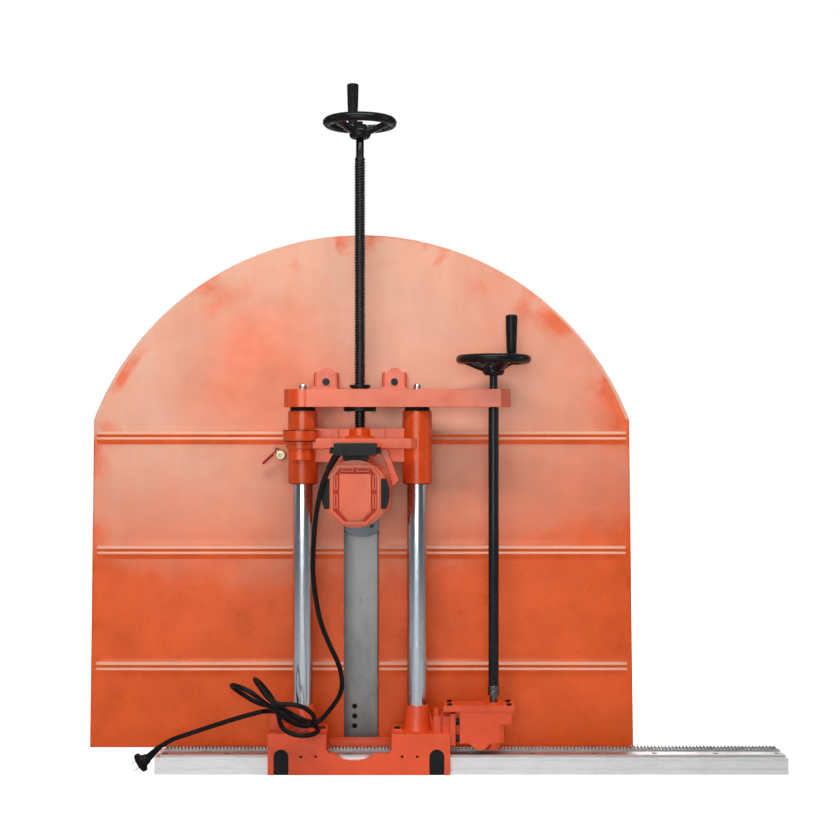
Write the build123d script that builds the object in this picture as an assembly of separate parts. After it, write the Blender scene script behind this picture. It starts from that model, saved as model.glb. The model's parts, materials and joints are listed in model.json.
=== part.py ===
"""Rail-mounted wall saw: a rail with a rack, a travelling base with two columns,
a motor carriage fed by a lead screw, and a sheet-metal blade guard.

Millimetres. +Z up, +X along the rail, +Y from the motor side towards the guard.
The origin is on the rail's underside, below the lead screw's axis.
"""
import os
from math import atan2, cos, degrees, pi, radians, sin, sqrt, tan

from build123d import *

# Rail
RAIL_X0, RAIL_X1 = -452.0, 948.0
RAIL_Y0, RAIL_Y1 = -50.0, 52.0
RAIL_H = 37.5
STRIP_X0, STRIP_X1 = -440.0, 942.0
STRIP_Y0, STRIP_Y1 = -46.0, -14.0
STRIP_H = 6.0
RACK_Y0, RACK_Y1 = 5.0, 25.0
RACK_BOTTOM, RACK_TIP = 27.5, 50.0
ANCHOR_X = (-347.0, 843.0)
ANCHOR_Y = -4.5
ANCHOR_R = 7.0
RAIL_SCREW_PITCH = 135.6
RAIL_SCREW_COUNT = 11

# Travel gearing
RACK_MODULE = 2.5
PINION_TEETH = 18
PINION_X = 268.0
PINION_Z = RACK_TIP - RACK_MODULE + RACK_MODULE * PINION_TEETH / 2 + 0.1
WORM_X, WORM_Y = 298.0, -24.0
WORM_WHEEL_R = 18.0
WORM_R = 11.7
BACKLASH = 0.25

# Travelling base
BASE_HALF = 201.0
BASE_Y0, BASE_Y1 = -60.0, 60.0
BASE_BOTTOM = 1.5
BLOCK_TOP = 92.0
NOTCH_HALF = 72.0
NOTCH_FLOOR = 49.0
BACK_WALL_Y0, BACK_WALL_TOP = 29.0, 61.0
SOCKET_TOP = 147.0
ARCH_X = (-171.5, 171.5)
ARCH_HALF = 16.5
ARCH_TOP = 58.0

# Columns and crosshead
COLUMN_X = 128.0
COLUMN_R = 22.5
PLATE_Z0, PLATE_Z1 = 812.0, 852.0
PLATE_X1 = 336.0
PLATE_Y0, PLATE_Y1 = -40.0, 38.0

# Feed screw
SCREW_R = 12.5
SCREW_Z0, SCREW_Z1 = 767.0, 1369.0
JOURNAL_R = 8.0
NECK_R = 9.0
FEED_HUB_Z = 1413.0
WHEEL_R = 74.3
WHEEL_RIM_R = 9.3
RING_ABOVE_HUB = 36.0
GRIP_L = 95.0
GRIP_R0, GRIP_R1 = 10.8, 13.4
GRIP_ANGLE_FEED, GRIP_ANGLE_TRAVEL = 105.0, 54.0

# Travel shaft and its gearbox
SHAFT_R, LOWER_SHAFT_R, PINION_SHAFT_R = 9.0, 8.5, 8.0
GEARBOX_Y0, GEARBOX_Y1 = -54.0, 6.0
GEARBOX_TOP, COVER_TOP = 140.0, 153.0
FLANGE_X1 = 213.0
TRAVEL_HUB_Z = 882.0
TUBE_Z0, TUBE_Z1 = 194.0, 811.0

# Carriage
SLEEVE_R = 33.0
SLEEVE_Z0, SLEEVE_Z1 = 642.0, 803.5
BOSS_Y = -72.0
BAR_Z0, BAR_Z1 = 720.0, 743.0
GEARCASE_Y0, GEARCASE_Y1 = -62.0, 40.0
GEARCASE_HALF = 70.0
MOTOR_Z = 628.0
MOTOR_R = 70.5
MOTOR_Y0, MOTOR_Y1 = -250.0, -62.0
CAP_DEPTH = 26.0
DRIVE_MODULE = 2.0
ARMATURE_TEETH, SPINDLE_TEETH = 14, 32
SPINDLE_Z = MOTOR_Z - DRIVE_MODULE * (ARMATURE_TEETH + SPINDLE_TEETH) / 2 - 0.1
FLANGE_R = 67.0
NOSE_Y1 = 87.0
FLANGE_Y0, FLANGE_Y1 = 102.0, 116.0
ARBOR_R, ARBOR_L = 30.0, 6.0
SWITCH_HALF = 44.0
SWITCH_Y0, SWITCH_Y1 = -275.0, -190.0
SWITCH_Z0, SWITCH_Z1 = 708.0, 734.0

# Guard
GUARD_Y0, GUARD_Y1 = 93.0, 165.5
SHEET = 2.5
GUARD_BOTTOM = 31.0
GUARD_HALF_BOTTOM, GUARD_HALF_CORNER = 625.0, 615.5
GUARD_CORNER_Z = 785.0
GUARD_TOP = 1209.0
SLOT_HALF, SLOT_BOTTOM, SLOT_TOP = 41.0, 52.0, 690.0
RIB_Z = (744.0, 481.0, 214.0)
RIB_HALF = 609.0
RIB_PROUD = 2.5
RIB_TEETH = ((13.0, 7.0, 0.0), (0.0, -5.0, -16.0))
STRIP_HOLE_X = -19.0
STRIP_HOLE_Z = (113.0, 90.0, 67.0)
STRIP_HOLE_R = 6.0
LUG_X = (-80.0, 76.0)
LUG_TOP, CHEEK_TOP = 904.0, 893.0
CHEEK_R = 4.5
LUG_Y0 = GUARD_Y0 - 8
LUG_FRONT_Y = LUG_Y0 - 22
LUG_BOLT_Z = 871.0

# Water valve
VALVE_X, VALVE_Z = -183.0, 704.0
VALVE_Y0, VALVE_Y1 = 53.0, 85.0
STEM_Y = 70.0
STEM_TILT = 43.0

# Mains cord: the free stretch above its loops, the stretch to the plug, and the plug
CORD_D = 10.5
CORD_DROP = [
    (-45.1, -263, 696.7), (-58.1, -263, 674.2), (-69, -262, 644), (-78, -256, 604), (-85, -244, 556),
    (-89, -226, 508), (-91, -208, 458), (-86, -192, 406), (-77, -178, 352), (-58, -156, 300),
    (-38, -134, 254), (-33, -112, 208), (-40, -90, 172), (-50, -72, 142), (-64, -60, 120), (-85, -56, 104),
]
CORD_TAIL = [
    (-213.8, -51, 140), (-250, -50, 131), (-297, -47, 116), (-345, -44, 100), (-388, -41, 85),
    (-420, -38, 74), (-443, -36, 58),
]
BUNDLE_Y0, BUNDLE_Y1 = -130.0, -38.0
LOOPS_Y0, LOOPS_Y1 = -128.0, -22.0
PLUG_CENTRE = Vector(-486, -34, 23)
PLUG_AXIS = Vector(-0.85, 0, -0.527)
PLUG_R, PLUG_WAIST_R = 21.5, 11.0
PLUG_REAR = PLUG_CENTRE - PLUG_AXIS * 20


def box(x0, x1, y0, y1, z0, z1):
    """A block between two opposite corners."""
    size = (x1 - x0, y1 - y0, z1 - z0)
    return Pos((x0 + x1) / 2, (y0 + y1) / 2, (z0 + z1) / 2) * Box(*size)


def rod(x, y, z0, z1, r):
    """A cylinder along Z."""
    return Pos(x, y, (z0 + z1) / 2) * Cylinder(r, z1 - z0)


def rod_y(x, z, y0, y1, r):
    """A cylinder along Y."""
    return Pos(x, (y0 + y1) / 2, z) * Rot(X=90) * Cylinder(r, y1 - y0)


def rod_x(y, z, x0, x1, r):
    """A cylinder along X."""
    return Pos((x0 + x1) / 2, y, z) * Rot(Y=90) * Cylinder(r, x1 - x0)


def between(a, b, r0, r1):
    """A round bar or cone from point a to point b."""
    a, b = Vector(*a), Vector(*b)
    plane = Plane(origin=a, z_dir=b - a)
    length = (b - a).length
    align = (Align.CENTER, Align.CENTER, Align.MIN)
    if abs(r0 - r1) < 1e-6:
        return plane * Cylinder(r0, length, align=align)
    return plane * Cone(r0, r1, length, align=align)


def outline_y(points, y0, y1):
    """A polygon of (x, z) points, extruded from y0 to y1."""
    face = make_face(Polyline(*[(x, y1, z) for x, z in points], close=True))
    return extrude(face, amount=y1 - y0, dir=(0, -1, 0))


def outline_z(points, z0, z1):
    """A polygon of (x, y) points, extruded from z0 to z1."""
    face = make_face(Polyline(*[(x, y, z0) for x, y in points], close=True))
    return extrude(face, amount=z1 - z0, dir=(0, 0, 1))


def turned(points, x, y, z):
    """A profile of (radius, height) points turned about the vertical line through (x, y)."""
    face = make_face(Polyline(*[(r, 0, h) for r, h in points], close=True))
    return Pos(x, y, z) * revolve(face, Axis.Z)


def gear_outline(teeth, module, phase):
    """The points of an involute spur gear with one tooth centred at angle phase, in degrees."""
    pitch_r = teeth * module / 2
    base_r = pitch_r * cos(radians(20))
    tip_r = pitch_r + 0.95 * module
    root_r = pitch_r - 1.2 * module
    half = pi / (2 * teeth) - BACKLASH / (2 * pitch_r)
    involute = tan(radians(20)) - radians(20)
    flank = [(root_r, half + involute)]
    for step in range(5):
        r = max(base_r, root_r) + (tip_r - max(base_r, root_r)) * step / 4
        roll = sqrt(max((r / base_r) ** 2 - 1, 0))
        flank.append((r, half + involute - (roll - atan2(roll, 1))))
    points = []
    for tooth in range(teeth):
        centre = radians(phase) + 2 * pi * tooth / teeth
        side = [(r, centre - a) for r, a in flank] + [(r, centre + a) for r, a in flank[::-1]]
        points += [(r * cos(a), r * sin(a)) for r, a in side]
    return points


def gear_y(teeth, module, phase, x, z, y0, y1):
    """A spur gear on an axis along Y."""
    points = gear_outline(teeth, module, phase)
    return outline_y([(x + a, z + b) for a, b in points], y0, y1)


def rail_extrusion():
    """Aluminium bar with three chambers, a channel for the rack and two face grooves."""
    body = box(RAIL_X0, RAIL_X1, RAIL_Y0, RAIL_Y1, 0, RAIL_H)
    body -= box(RAIL_X0, RAIL_X1, RACK_Y0, RACK_Y1, RACK_BOTTOM, RAIL_H)
    for y0, y1, z1 in ((-42, -16, 29), (4, 26, 21), (32, 46, 29)):
        body -= box(RAIL_X0, RAIL_X1, y0, y1, 7, z1)
    for z in (12.0, 31.0):
        body -= box(RAIL_X0, RAIL_X1, RAIL_Y0, RAIL_Y0 + 2, z, z + 2)
    for x in ANCHOR_X:
        body -= rod(x, ANCHOR_Y, 0, RAIL_H, ANCHOR_R)
    return body


def rail_screw_x():
    """Where the fasteners of the strip and the rack are, along the rail."""
    middle = (RAIL_X0 + RAIL_X1) / 2
    first = middle - RAIL_SCREW_PITCH * (RAIL_SCREW_COUNT - 1) / 2
    return [first + RAIL_SCREW_PITCH * n for n in range(RAIL_SCREW_COUNT)]


def strip_screw_y():
    return (STRIP_Y0 + STRIP_Y1) / 2


def guide_strip():
    """Hardened strip that the base runs on."""
    strip = box(STRIP_X0, STRIP_X1, STRIP_Y0, STRIP_Y1, RAIL_H, RAIL_H + STRIP_H)
    for x in rail_screw_x():
        strip -= rod(x, strip_screw_y(), RAIL_H, RAIL_H + STRIP_H, 6.5)
    return strip


def rack():
    """Rack of straight teeth, seated in the rail's channel."""
    pitch = pi * RACK_MODULE
    pitch_z = RACK_TIP - RACK_MODULE
    root_z = pitch_z - 1.2 * RACK_MODULE
    half = pitch / 4 - BACKLASH / 2
    lean = tan(radians(20))
    first = PINION_X + pitch / 2 - pitch * int((PINION_X - STRIP_X0) / pitch)
    count = int((STRIP_X1 - first) / pitch)
    points = [(STRIP_X0, RACK_BOTTOM), (STRIP_X0, root_z)]
    for tooth in range(count):
        x = first + pitch * tooth
        low = half + (pitch_z - root_z) * lean
        high = half - RACK_MODULE * lean
        points += [(x - low, root_z), (x - high, RACK_TIP)]
        points += [(x + high, RACK_TIP), (x + low, root_z)]
    points += [(STRIP_X1, root_z), (STRIP_X1, RACK_BOTTOM)]
    bar = outline_y(points, RACK_Y0, RACK_Y1)
    for x in rail_screw_x():
        bar -= rod(x, (RACK_Y0 + RACK_Y1) / 2, RACK_BOTTOM + 3, RACK_TIP, 5.0)
    return bar


def socket_screw(x, y, z, r):
    """Socket head, 4 mm tall, with its hexagon."""
    head = rod(x, y, z, z + 4, r)
    return head - Pos(x, y, z + 2.5) * extrude(RegularPolygon(r * 0.5, 6), 2)


def rail_screws():
    """Sunk socket screws of the guide strip and the rack."""
    rack_y = (RACK_Y0 + RACK_Y1) / 2
    screws = [socket_screw(x, strip_screw_y(), RAIL_H + 1, 6.0) for x in rail_screw_x()]
    screws += [socket_screw(x, rack_y, RACK_BOTTOM + 4, 4.6) for x in rail_screw_x()]
    return Compound(children=screws)


def arch(x, grow, y0, y1):
    """An upright plate with a round top, standing at the base's lower edge."""
    half = ARCH_HALF + grow
    spring = ARCH_TOP - ARCH_HALF
    block = box(x - half, x + half, y0, y1, BASE_BOTTOM, spring)
    return block + rod_y(x, spring, y0, y1, half)


def base_casting():
    """Two blocks joined by a notched bridge, straddling the rail, with two column sockets."""
    top = [(-BASE_HALF, BLOCK_TOP), (-NOTCH_HALF, BLOCK_TOP), (-NOTCH_HALF, NOTCH_FLOOR + 6)]
    top += [(NOTCH_HALF, NOTCH_FLOOR + 6), (NOTCH_HALF, BLOCK_TOP), (BASE_HALF, BLOCK_TOP)]
    body = outline_y([(-BASE_HALF, BASE_BOTTOM)] + top + [(BASE_HALF, BASE_BOTTOM)], BASE_Y0, BASE_Y1)
    clear_top = RACK_TIP + 2
    body -= box(-BASE_HALF, BASE_HALF, RAIL_Y0 - 1.2, RAIL_Y1 + 1.2, 0, RAIL_H + STRIP_H + 0.8)
    body -= box(-BASE_HALF, BASE_HALF, RACK_Y0 - 3, RACK_Y1 + 3, 0, clear_top)
    scoop = outline_y([(-60, 58), (-52, 47), (-34, 36), (-22, 34), (0, 34), (12, 36), (32, 47), (40, 58)],
                      BASE_Y0, RAIL_Y0 - 1.2)
    body -= scoop
    body -= box(-NOTCH_HALF + 4, NOTCH_HALF - 4, BASE_Y0, BACK_WALL_Y0, NOTCH_FLOOR + 0.3, BLOCK_TOP)
    body -= box(-NOTCH_HALF + 4, NOTCH_HALF - 4, RAIL_Y0 - 1.2, BACK_WALL_Y0, RAIL_H, NOTCH_FLOOR + 6)
    body += box(-NOTCH_HALF, NOTCH_HALF, BACK_WALL_Y0, BASE_Y1, NOTCH_FLOOR + 6, BACK_WALL_TOP)
    for x in ARCH_X:
        body -= arch(x, 0, BASE_Y0, BASE_Y0 + 5)
    for side in (-1, 1):
        x = side * COLUMN_X
        flare = [(0, 92), (33.0, 92), (31.5, 100), (25.6, SOCKET_TOP), (0, SOCKET_TOP)]
        body += turned(flare, x, 0, 0)
        rib = [(x - 30, BLOCK_TOP), (x + 44 * side, BLOCK_TOP), (x + 24 * side, 138), (x, 138)]
        if side > 0:
            body += outline_y(rib, -6, 6)
        body -= rod(x, 0, 62, SOCKET_TOP, COLUMN_R)
        body += box(side * 84 - 9, side * 84 + 9, -24, -6, BLOCK_TOP, BLOCK_TOP + 4)
    body += box(-199, -172, -14, 14, BLOCK_TOP, BLOCK_TOP + 36)
    body += box(164, 180, -40, 20, BLOCK_TOP, 127) + box(180, 185, -30, 20, BLOCK_TOP, 127)
    body += box(185, BASE_HALF, -38, 20, BLOCK_TOP, 127) + rod(171, -20, 127, 142, 8)
    for x in adjuster_x():
        body -= rod_y(x, 42, BASE_Y0, BASE_Y0 + 8, 3.0)
    return body


def adjuster_x():
    return [side * x for side in (-1, 1) for x in (95, 128)]


def arch_inserts():
    """Wiper blocks let into the base's front."""
    return Compound(children=[arch(x, -0.2, BASE_Y0 + 0.4, BASE_Y0 + 5) for x in ARCH_X])


def slide_pads():
    """Plastic pads under the base that run on the guide strip and on the rail's back edge."""
    pads = []
    for x in (-165, 165):
        z = RAIL_H + STRIP_H
        pads.append(box(x - 30, x + 30, STRIP_Y0 + 4, STRIP_Y1 - 4, z + 0.1, z + 0.8))
        pads.append(box(x - 30, x + 30, 34, 48, RAIL_H + 0.1, RAIL_H + STRIP_H + 0.8))
    return Compound(children=pads)


def adjusting_screws():
    return Compound(children=[rod_y(x, 42, BASE_Y0 + 0.8, BASE_Y0 + 8, 3.0) for x in adjuster_x()])


def base_bolts():
    """Socket bolts on the blocks' pads."""
    return Compound(children=[socket_screw(s * 84, -15, BLOCK_TOP + 4, 7.0) for s in (-1, 1)])


def column(side):
    return rod(side * COLUMN_X, 0, 62, PLATE_Z1 - 2, COLUMN_R)


def column_caps():
    """Domed nuts on the tops of the columns."""
    caps = []
    for side in (-1, 1):
        profile = [(0, 0), (11, 0), (11, 3), (8.5, 3), (8.5, 9), (6.5, 13), (3, 15), (0, 15.4)]
        caps.append(turned(profile, side * COLUMN_X, 0, PLATE_Z1 - 2))
    return Compound(children=caps)


def bumpers():
    """Rubber rings round the columns, under the crosshead."""
    rings = []
    for side in (-1, 1):
        ring = rod(side * COLUMN_X, 0, SLEEVE_Z1 + 0.5, PLATE_Z0, 28)
        rings.append(ring - rod(side * COLUMN_X, 0, SLEEVE_Z1 + 0.5, PLATE_Z0, COLUMN_R + 0.2))
    return Compound(children=rings)


def top_plate():
    """Crosshead: a round boss on the left column and a long arm to the travel shaft."""
    arm = [(-COLUMN_X, PLATE_Y0), (PLATE_X1 - 22, PLATE_Y0)]
    arm += [(PLATE_X1, PLATE_Y0 + 22), (PLATE_X1, 0), (PLATE_X1 - 120, PLATE_Y1)]
    arm += [(-COLUMN_X, PLATE_Y1)]
    plate = outline_z(arm, PLATE_Z0, PLATE_Z1) + rod(-COLUMN_X, 0, PLATE_Z0, PLATE_Z1, 42)
    for side in (-1, 1):
        plate -= rod(side * COLUMN_X, 0, PLATE_Z0, PLATE_Z1 - 2, COLUMN_R)
        plate -= rod(side * COLUMN_X, 0, PLATE_Z1 - 2, PLATE_Z1, 11)
    plate -= rod(0, 0, PLATE_Z0, PLATE_Z1, 20)
    plate -= rod(WORM_X, WORM_Y, PLATE_Z0, PLATE_Z1, 12)
    return plate


def feed_nut():
    """Flanged nut of the lead screw, let into the crosshead."""
    profile = [(SCREW_R + 0.08, -9), (36.5, -9), (36.5, 0), (20, 0), (20, 44), (23, 44), (23, 50)]
    return turned(profile + [(SCREW_R + 0.08, 50)], 0, 0, PLATE_Z0)


def feed_nut_screws():
    """Screw tips under the nut's flange."""
    return Compound(children=[rod(x, 0, PLATE_Z0 - 14, PLATE_Z0 - 9, 3) for x in (-29, 29)])


def tube_bush():
    """Bush in the crosshead that the travel shaft turns in."""
    bush = rod(WORM_X, WORM_Y, PLATE_Z0, PLATE_Z1, 12)
    return bush - rod(WORM_X, WORM_Y, PLATE_Z0, PLATE_Z1, SHAFT_R + 0.05)


def guard_lug(x):
    """Lug between the crosshead's top and the guard's front sheet, with rounded edges and a domed back."""
    half, dome = 28, 18
    back = box(x - half, x + half, LUG_Y0, GUARD_Y0, PLATE_Z1, LUG_TOP - dome)
    back += rod_y(x, LUG_TOP - dome, LUG_Y0, GUARD_Y0, dome)
    foot = box(x - half, x + half, 12, LUG_Y0, PLATE_Z1, PLATE_Z1 + 6)
    block = box(x - half + CHEEK_R, x + half - CHEEK_R, LUG_FRONT_Y, LUG_Y0, PLATE_Z1, CHEEK_TOP - 2)
    bracket = back + foot + block
    for side in (-1, 1):
        edge = x + side * (half - CHEEK_R)
        bracket += box(edge - CHEEK_R, edge + CHEEK_R, LUG_Y0 - 18, LUG_Y0, PLATE_Z1, CHEEK_TOP - CHEEK_R)
        bracket += rod(edge, LUG_Y0 - 18, PLATE_Z1, CHEEK_TOP - CHEEK_R, CHEEK_R)
        bracket += rod_y(edge, CHEEK_TOP - CHEEK_R, LUG_Y0 - 18, LUG_Y0, CHEEK_R)
        bracket += Location((edge, LUG_Y0 - 18, CHEEK_TOP - CHEEK_R)) * Sphere(CHEEK_R)
    bracket -= rod(x, 32, PLATE_Z1, PLATE_Z1 + 6, 7)
    return bracket - rod_y(x, LUG_BOLT_Z, LUG_FRONT_Y, GUARD_Y0, 5)


def lug_bolts():
    """Black bolts that hold the guard to its lugs, and the lugs to the crosshead."""
    bolts = []
    for x in LUG_X:
        head = rod_y(x, LUG_BOLT_Z, LUG_FRONT_Y - 7, LUG_FRONT_Y, 8)
        bolts.append(head + rod_y(x, LUG_BOLT_Z, LUG_FRONT_Y, GUARD_Y0, 4.9))
        bolts.append(rod(x, 32, PLATE_Z1, PLATE_Z1 + 5.5, 6.9))
    return Compound(children=bolts)


def guard_face(inset, y0, y1):
    """The guard's outline: sides that lean in slightly under one wide arc, moved in by inset."""
    low, corner = GUARD_HALF_BOTTOM - inset, GUARD_HALF_CORNER - inset
    right, left = (corner, y1, GUARD_CORNER_Z), (-corner, y1, GUARD_CORNER_Z)
    arc = ThreePointArc(right, (0, y1, GUARD_TOP - inset), left)
    sides = Polyline(right, (low, y1, GUARD_BOTTOM), (-low, y1, GUARD_BOTTOM), left)
    face = make_face(Wire([*arc.edges(), *sides.edges()]))
    return extrude(face, amount=y1 - y0, dir=(0, -1, 0))


def guard_front_sheet():
    """Front sheet with the spindle's slot and three lines of pressed, stepped double ribs."""
    sheet = guard_face(0, GUARD_Y0, GUARD_Y0 + SHEET)
    for z in RIB_Z:
        for head, crest, foot in RIB_TEETH:
            tooth = [(GUARD_Y0, z + head), (GUARD_Y0 - RIB_PROUD, z + crest), (GUARD_Y0, z + foot)]
            face = make_face(Polyline(*[(-RIB_HALF, y, level) for y, level in tooth], close=True))
            sheet += extrude(face, amount=2 * RIB_HALF, dir=(1, 0, 0))
    gap = box(-SLOT_HALF, SLOT_HALF, GUARD_Y0 - 5, GUARD_Y0 + SHEET, SLOT_BOTTOM, SLOT_TOP)
    gap += box(-SLOT_HALF - 10, SLOT_HALF + 10, GUARD_Y0 - 5, GUARD_Y0, SLOT_BOTTOM, SLOT_TOP)
    sheet -= gap
    for x in LUG_X:
        sheet -= rod_y(x, LUG_BOLT_Z, GUARD_Y0, GUARD_Y0 + SHEET, 5)
    return sheet - rod_y(VALVE_X, VALVE_Z, GUARD_Y0, GUARD_Y0 + SHEET, 6.6)


def guard_rim():
    """Bent band between the guard's two sheets, open along the bottom."""
    y0, y1 = GUARD_Y0 + SHEET, GUARD_Y1 - SHEET
    band = guard_face(0, y0, y1) - guard_face(SHEET, y0, y1)
    return band - box(-GUARD_HALF_BOTTOM + SHEET, GUARD_HALF_BOTTOM - SHEET, y0, y1, GUARD_BOTTOM - 1, 60)


def guard_back_sheet():
    return guard_face(0, GUARD_Y1 - SHEET, GUARD_Y1)


def wear_strip():
    """Steel strip inside the guard, behind the slot."""
    strip = box(-44.5, 35, GUARD_Y1 - SHEET - 3, GUARD_Y1 - SHEET, GUARD_BOTTOM + 6, 640)
    for z in STRIP_HOLE_Z:
        strip -= rod_y(STRIP_HOLE_X, z, GUARD_Y1 - SHEET - 3, GUARD_Y1 - SHEET, STRIP_HOLE_R)
    return strip


def strip_rivets():
    """Rivets that hold the wear strip, clear of its three holes."""
    y = GUARD_Y1 - SHEET - 3
    return Compound(children=[rod_y(-4, z, y - 1.6, y, 5) for z in (180, 360, 540)])


def stem_direction():
    return Vector(-sin(radians(STEM_TILT)), 0, cos(radians(STEM_TILT)))


def valve_body():
    """Brass ball valve with a bored inlet towards the operator and a nipple through the sheet."""
    body = rod_y(VALVE_X, VALVE_Z, VALVE_Y0, VALVE_Y1, 9.6)
    body += rod_y(VALVE_X, VALVE_Z, VALVE_Y1, GUARD_Y0 + SHEET, 6.5)
    body += rod_y(VALVE_X, VALVE_Z, GUARD_Y0 + SHEET, GUARD_Y0 + SHEET + 5, 9)
    middle = Vector(VALVE_X, STEM_Y, VALVE_Z)
    body += between(middle, middle + stem_direction() * 14, 6, 5)
    return body - rod_y(VALVE_X, VALVE_Z, VALVE_Y0, VALVE_Y0 + 12, 5.6)


def valve_lever():
    """Flat red lever on the valve's stem, with its nut."""
    middle = Vector(VALVE_X, STEM_Y, VALVE_Z)
    up = stem_direction()
    along = Vector(-up.Z, 0, up.X)
    plane = Plane(origin=middle + up * 14.3, x_dir=along, z_dir=up)
    lever = plane * Pos(17, 0, 1.2) * Box(46, 9, 2.4)
    return lever + between(middle + up * 14.3, middle + up * 21, 4.5, 3.6)


def gearbox_core():
    """The spaces inside the gearbox: for the worm, its wheel and the pinion."""
    space = rod(WORM_X, WORM_Y, 60, GEARBOX_TOP, WORM_R + 1.5)
    space += rod_y(PINION_X, PINION_Z, WORM_Y - 7, WORM_Y + 7, WORM_WHEEL_R + 1.5)
    space += rod_y(PINION_X, PINION_Z, RACK_Y0 - 1, 27, 27.2)
    space += rod_y(PINION_X, PINION_Z, -50, 31, PINION_SHAFT_R + 0.05)
    return space + rod(WORM_X, WORM_Y, 52, 60, LOWER_SHAFT_R + 0.05)


def gearbox_housing():
    """Gearbox on the base's right side, open below where the pinion meets the rack."""
    y0, y1 = GEARBOX_Y0, GEARBOX_Y1
    body = box(222, 336, y0, y1, 112, GEARBOX_TOP) + box(212, 300, y0 + 17, 31, 70, 112)
    body += box(212, 222, y0 + 17, y1, 112, GEARBOX_TOP)
    side = [(222, y0), (306, y0), (314, y0 + 3), (320, y0 + 8), (322, y0 + 16), (322, y1), (222, y1)]
    body += outline_z(side, 70, 112)
    tip = [(242, 70), (PINION_X - 6, 55), (PINION_X + 6, 55), (290, 70)]
    body += outline_y(tip, y0, y1 - 4) + rod(WORM_X, WORM_Y, 51.5, 70, 15.5)
    body += box(BASE_HALF + 0.2, FLANGE_X1, -48, 34, 64, 134)
    window = box(PINION_X - 28, PINION_X + 28, RACK_Y0 - 1, 27, 40, 70)
    return body - gearbox_core() - window


def gearbox_cover():
    """Cover plate over the gearbox, with the travel shaft's upper bore."""
    plate = box(186, 343, GEARBOX_Y0 - 1, GEARBOX_Y1 + 1, GEARBOX_TOP, COVER_TOP)
    plate += rod(WORM_X, WORM_Y, COVER_TOP, COVER_TOP + 4, 18)
    return plate - rod(WORM_X, WORM_Y, GEARBOX_TOP, COVER_TOP + 4, LOWER_SHAFT_R + 0.05)


def gearbox_screws():
    """Cover screws and flange bolts."""
    screws = [socket_screw(x, y, COVER_TOP, 5.5) for x in (200, 331) for y in (-46, -2)]
    screws += [rod_x(-47, z, FLANGE_X1, FLANGE_X1 + 8, 7.5) for z in (80, 117)]
    return Compound(children=screws)


def travel_shaft():
    """Vertical drive: upper shaft, long tube, coupling and lower shaft."""
    shaft = rod(WORM_X, WORM_Y, TUBE_Z1, TRAVEL_HUB_Z + 32, SHAFT_R)
    shaft += rod(WORM_X, WORM_Y, TUBE_Z0, TUBE_Z1, 11.5)
    shaft += rod(WORM_X, WORM_Y, 172, TUBE_Z0, 13)
    return shaft + rod(WORM_X, WORM_Y, 53, 172, LOWER_SHAFT_R)


def worm():
    return rod(WORM_X, WORM_Y, 62, 100, WORM_R) - rod(WORM_X, WORM_Y, 62, 100, LOWER_SHAFT_R)


def worm_wheel():
    y0, y1 = WORM_Y - 5, WORM_Y + 5
    disc = rod_y(PINION_X, PINION_Z, y0, y1, WORM_WHEEL_R)
    return disc - rod_y(PINION_X, PINION_Z, y0, y1, PINION_SHAFT_R)


def pinion_shaft():
    """Pinion in mesh with the rack, on the worm wheel's shaft."""
    gear = gear_y(PINION_TEETH, RACK_MODULE, -90, PINION_X, PINION_Z, RACK_Y0 + 1, RACK_Y1 - 1)
    return gear + rod_y(PINION_X, PINION_Z, -49, 30, PINION_SHAFT_R)


def handwheel(x, y, hub_z, grip_angle, bore):
    """Dished three-spoke handwheel with a pin for its grip. The rim's section has 24 flats."""
    ring_z = hub_z + RING_ABOVE_HUB
    turns = [2 * pi * step / 24 for step in range(24)]
    rim = [(WHEEL_R + WHEEL_RIM_R * cos(t), WHEEL_RIM_R * sin(t)) for t in turns]
    hub = [(0, 0), (20, 0), (24.5, 5), (24.5, 18), (17, 30), (0, 32)]
    wheel = turned(hub, x, y, hub_z)
    for spoke in range(3):
        a = radians(grip_angle + 120 * spoke)
        start = (x + 12 * cos(a), y + 12 * sin(a), hub_z + 14)
        end = (x + WHEEL_R * cos(a), y + WHEEL_R * sin(a), ring_z + 0.5)
        wheel += between(start, end, 9.5, 7.5)
    wheel += turned(rim, x, y, ring_z)
    a = radians(grip_angle)
    wheel += rod(x + WHEEL_R * cos(a), y + WHEEL_R * sin(a), ring_z, ring_z + 80, 4)
    return wheel - rod(x, y, hub_z, hub_z + 40, bore)


def grip(x, y, hub_z, grip_angle):
    """Tapered grip that turns on the handwheel's pin."""
    a = radians(grip_angle)
    low = WHEEL_RIM_R + 0.6
    profile = [(4.05, 0), (GRIP_R0, 0), (GRIP_R1, 78), (GRIP_R1, GRIP_L - 6), (GRIP_R1 - 4, GRIP_L)]
    profile += [(0, GRIP_L), (0, 74), (4.05, 74)]
    return turned(profile, x + WHEEL_R * cos(a), y + WHEEL_R * sin(a), hub_z + RING_ABOVE_HUB + low)


def feed_hub_nut():
    return Pos(0, 0, FEED_HUB_Z + 32) * extrude(RegularPolygon(6.6, 6), 7)


def feed_screw():
    """Lead screw, with its lower journal in the carriage and a plain neck to the handwheel."""
    screw = rod(0, 0, 741, SCREW_Z0, JOURNAL_R) + rod(0, 0, SCREW_Z0, SCREW_Z1, SCREW_R)
    return screw + rod(0, 0, SCREW_Z1, FEED_HUB_Z + 32, NECK_R)


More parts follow.
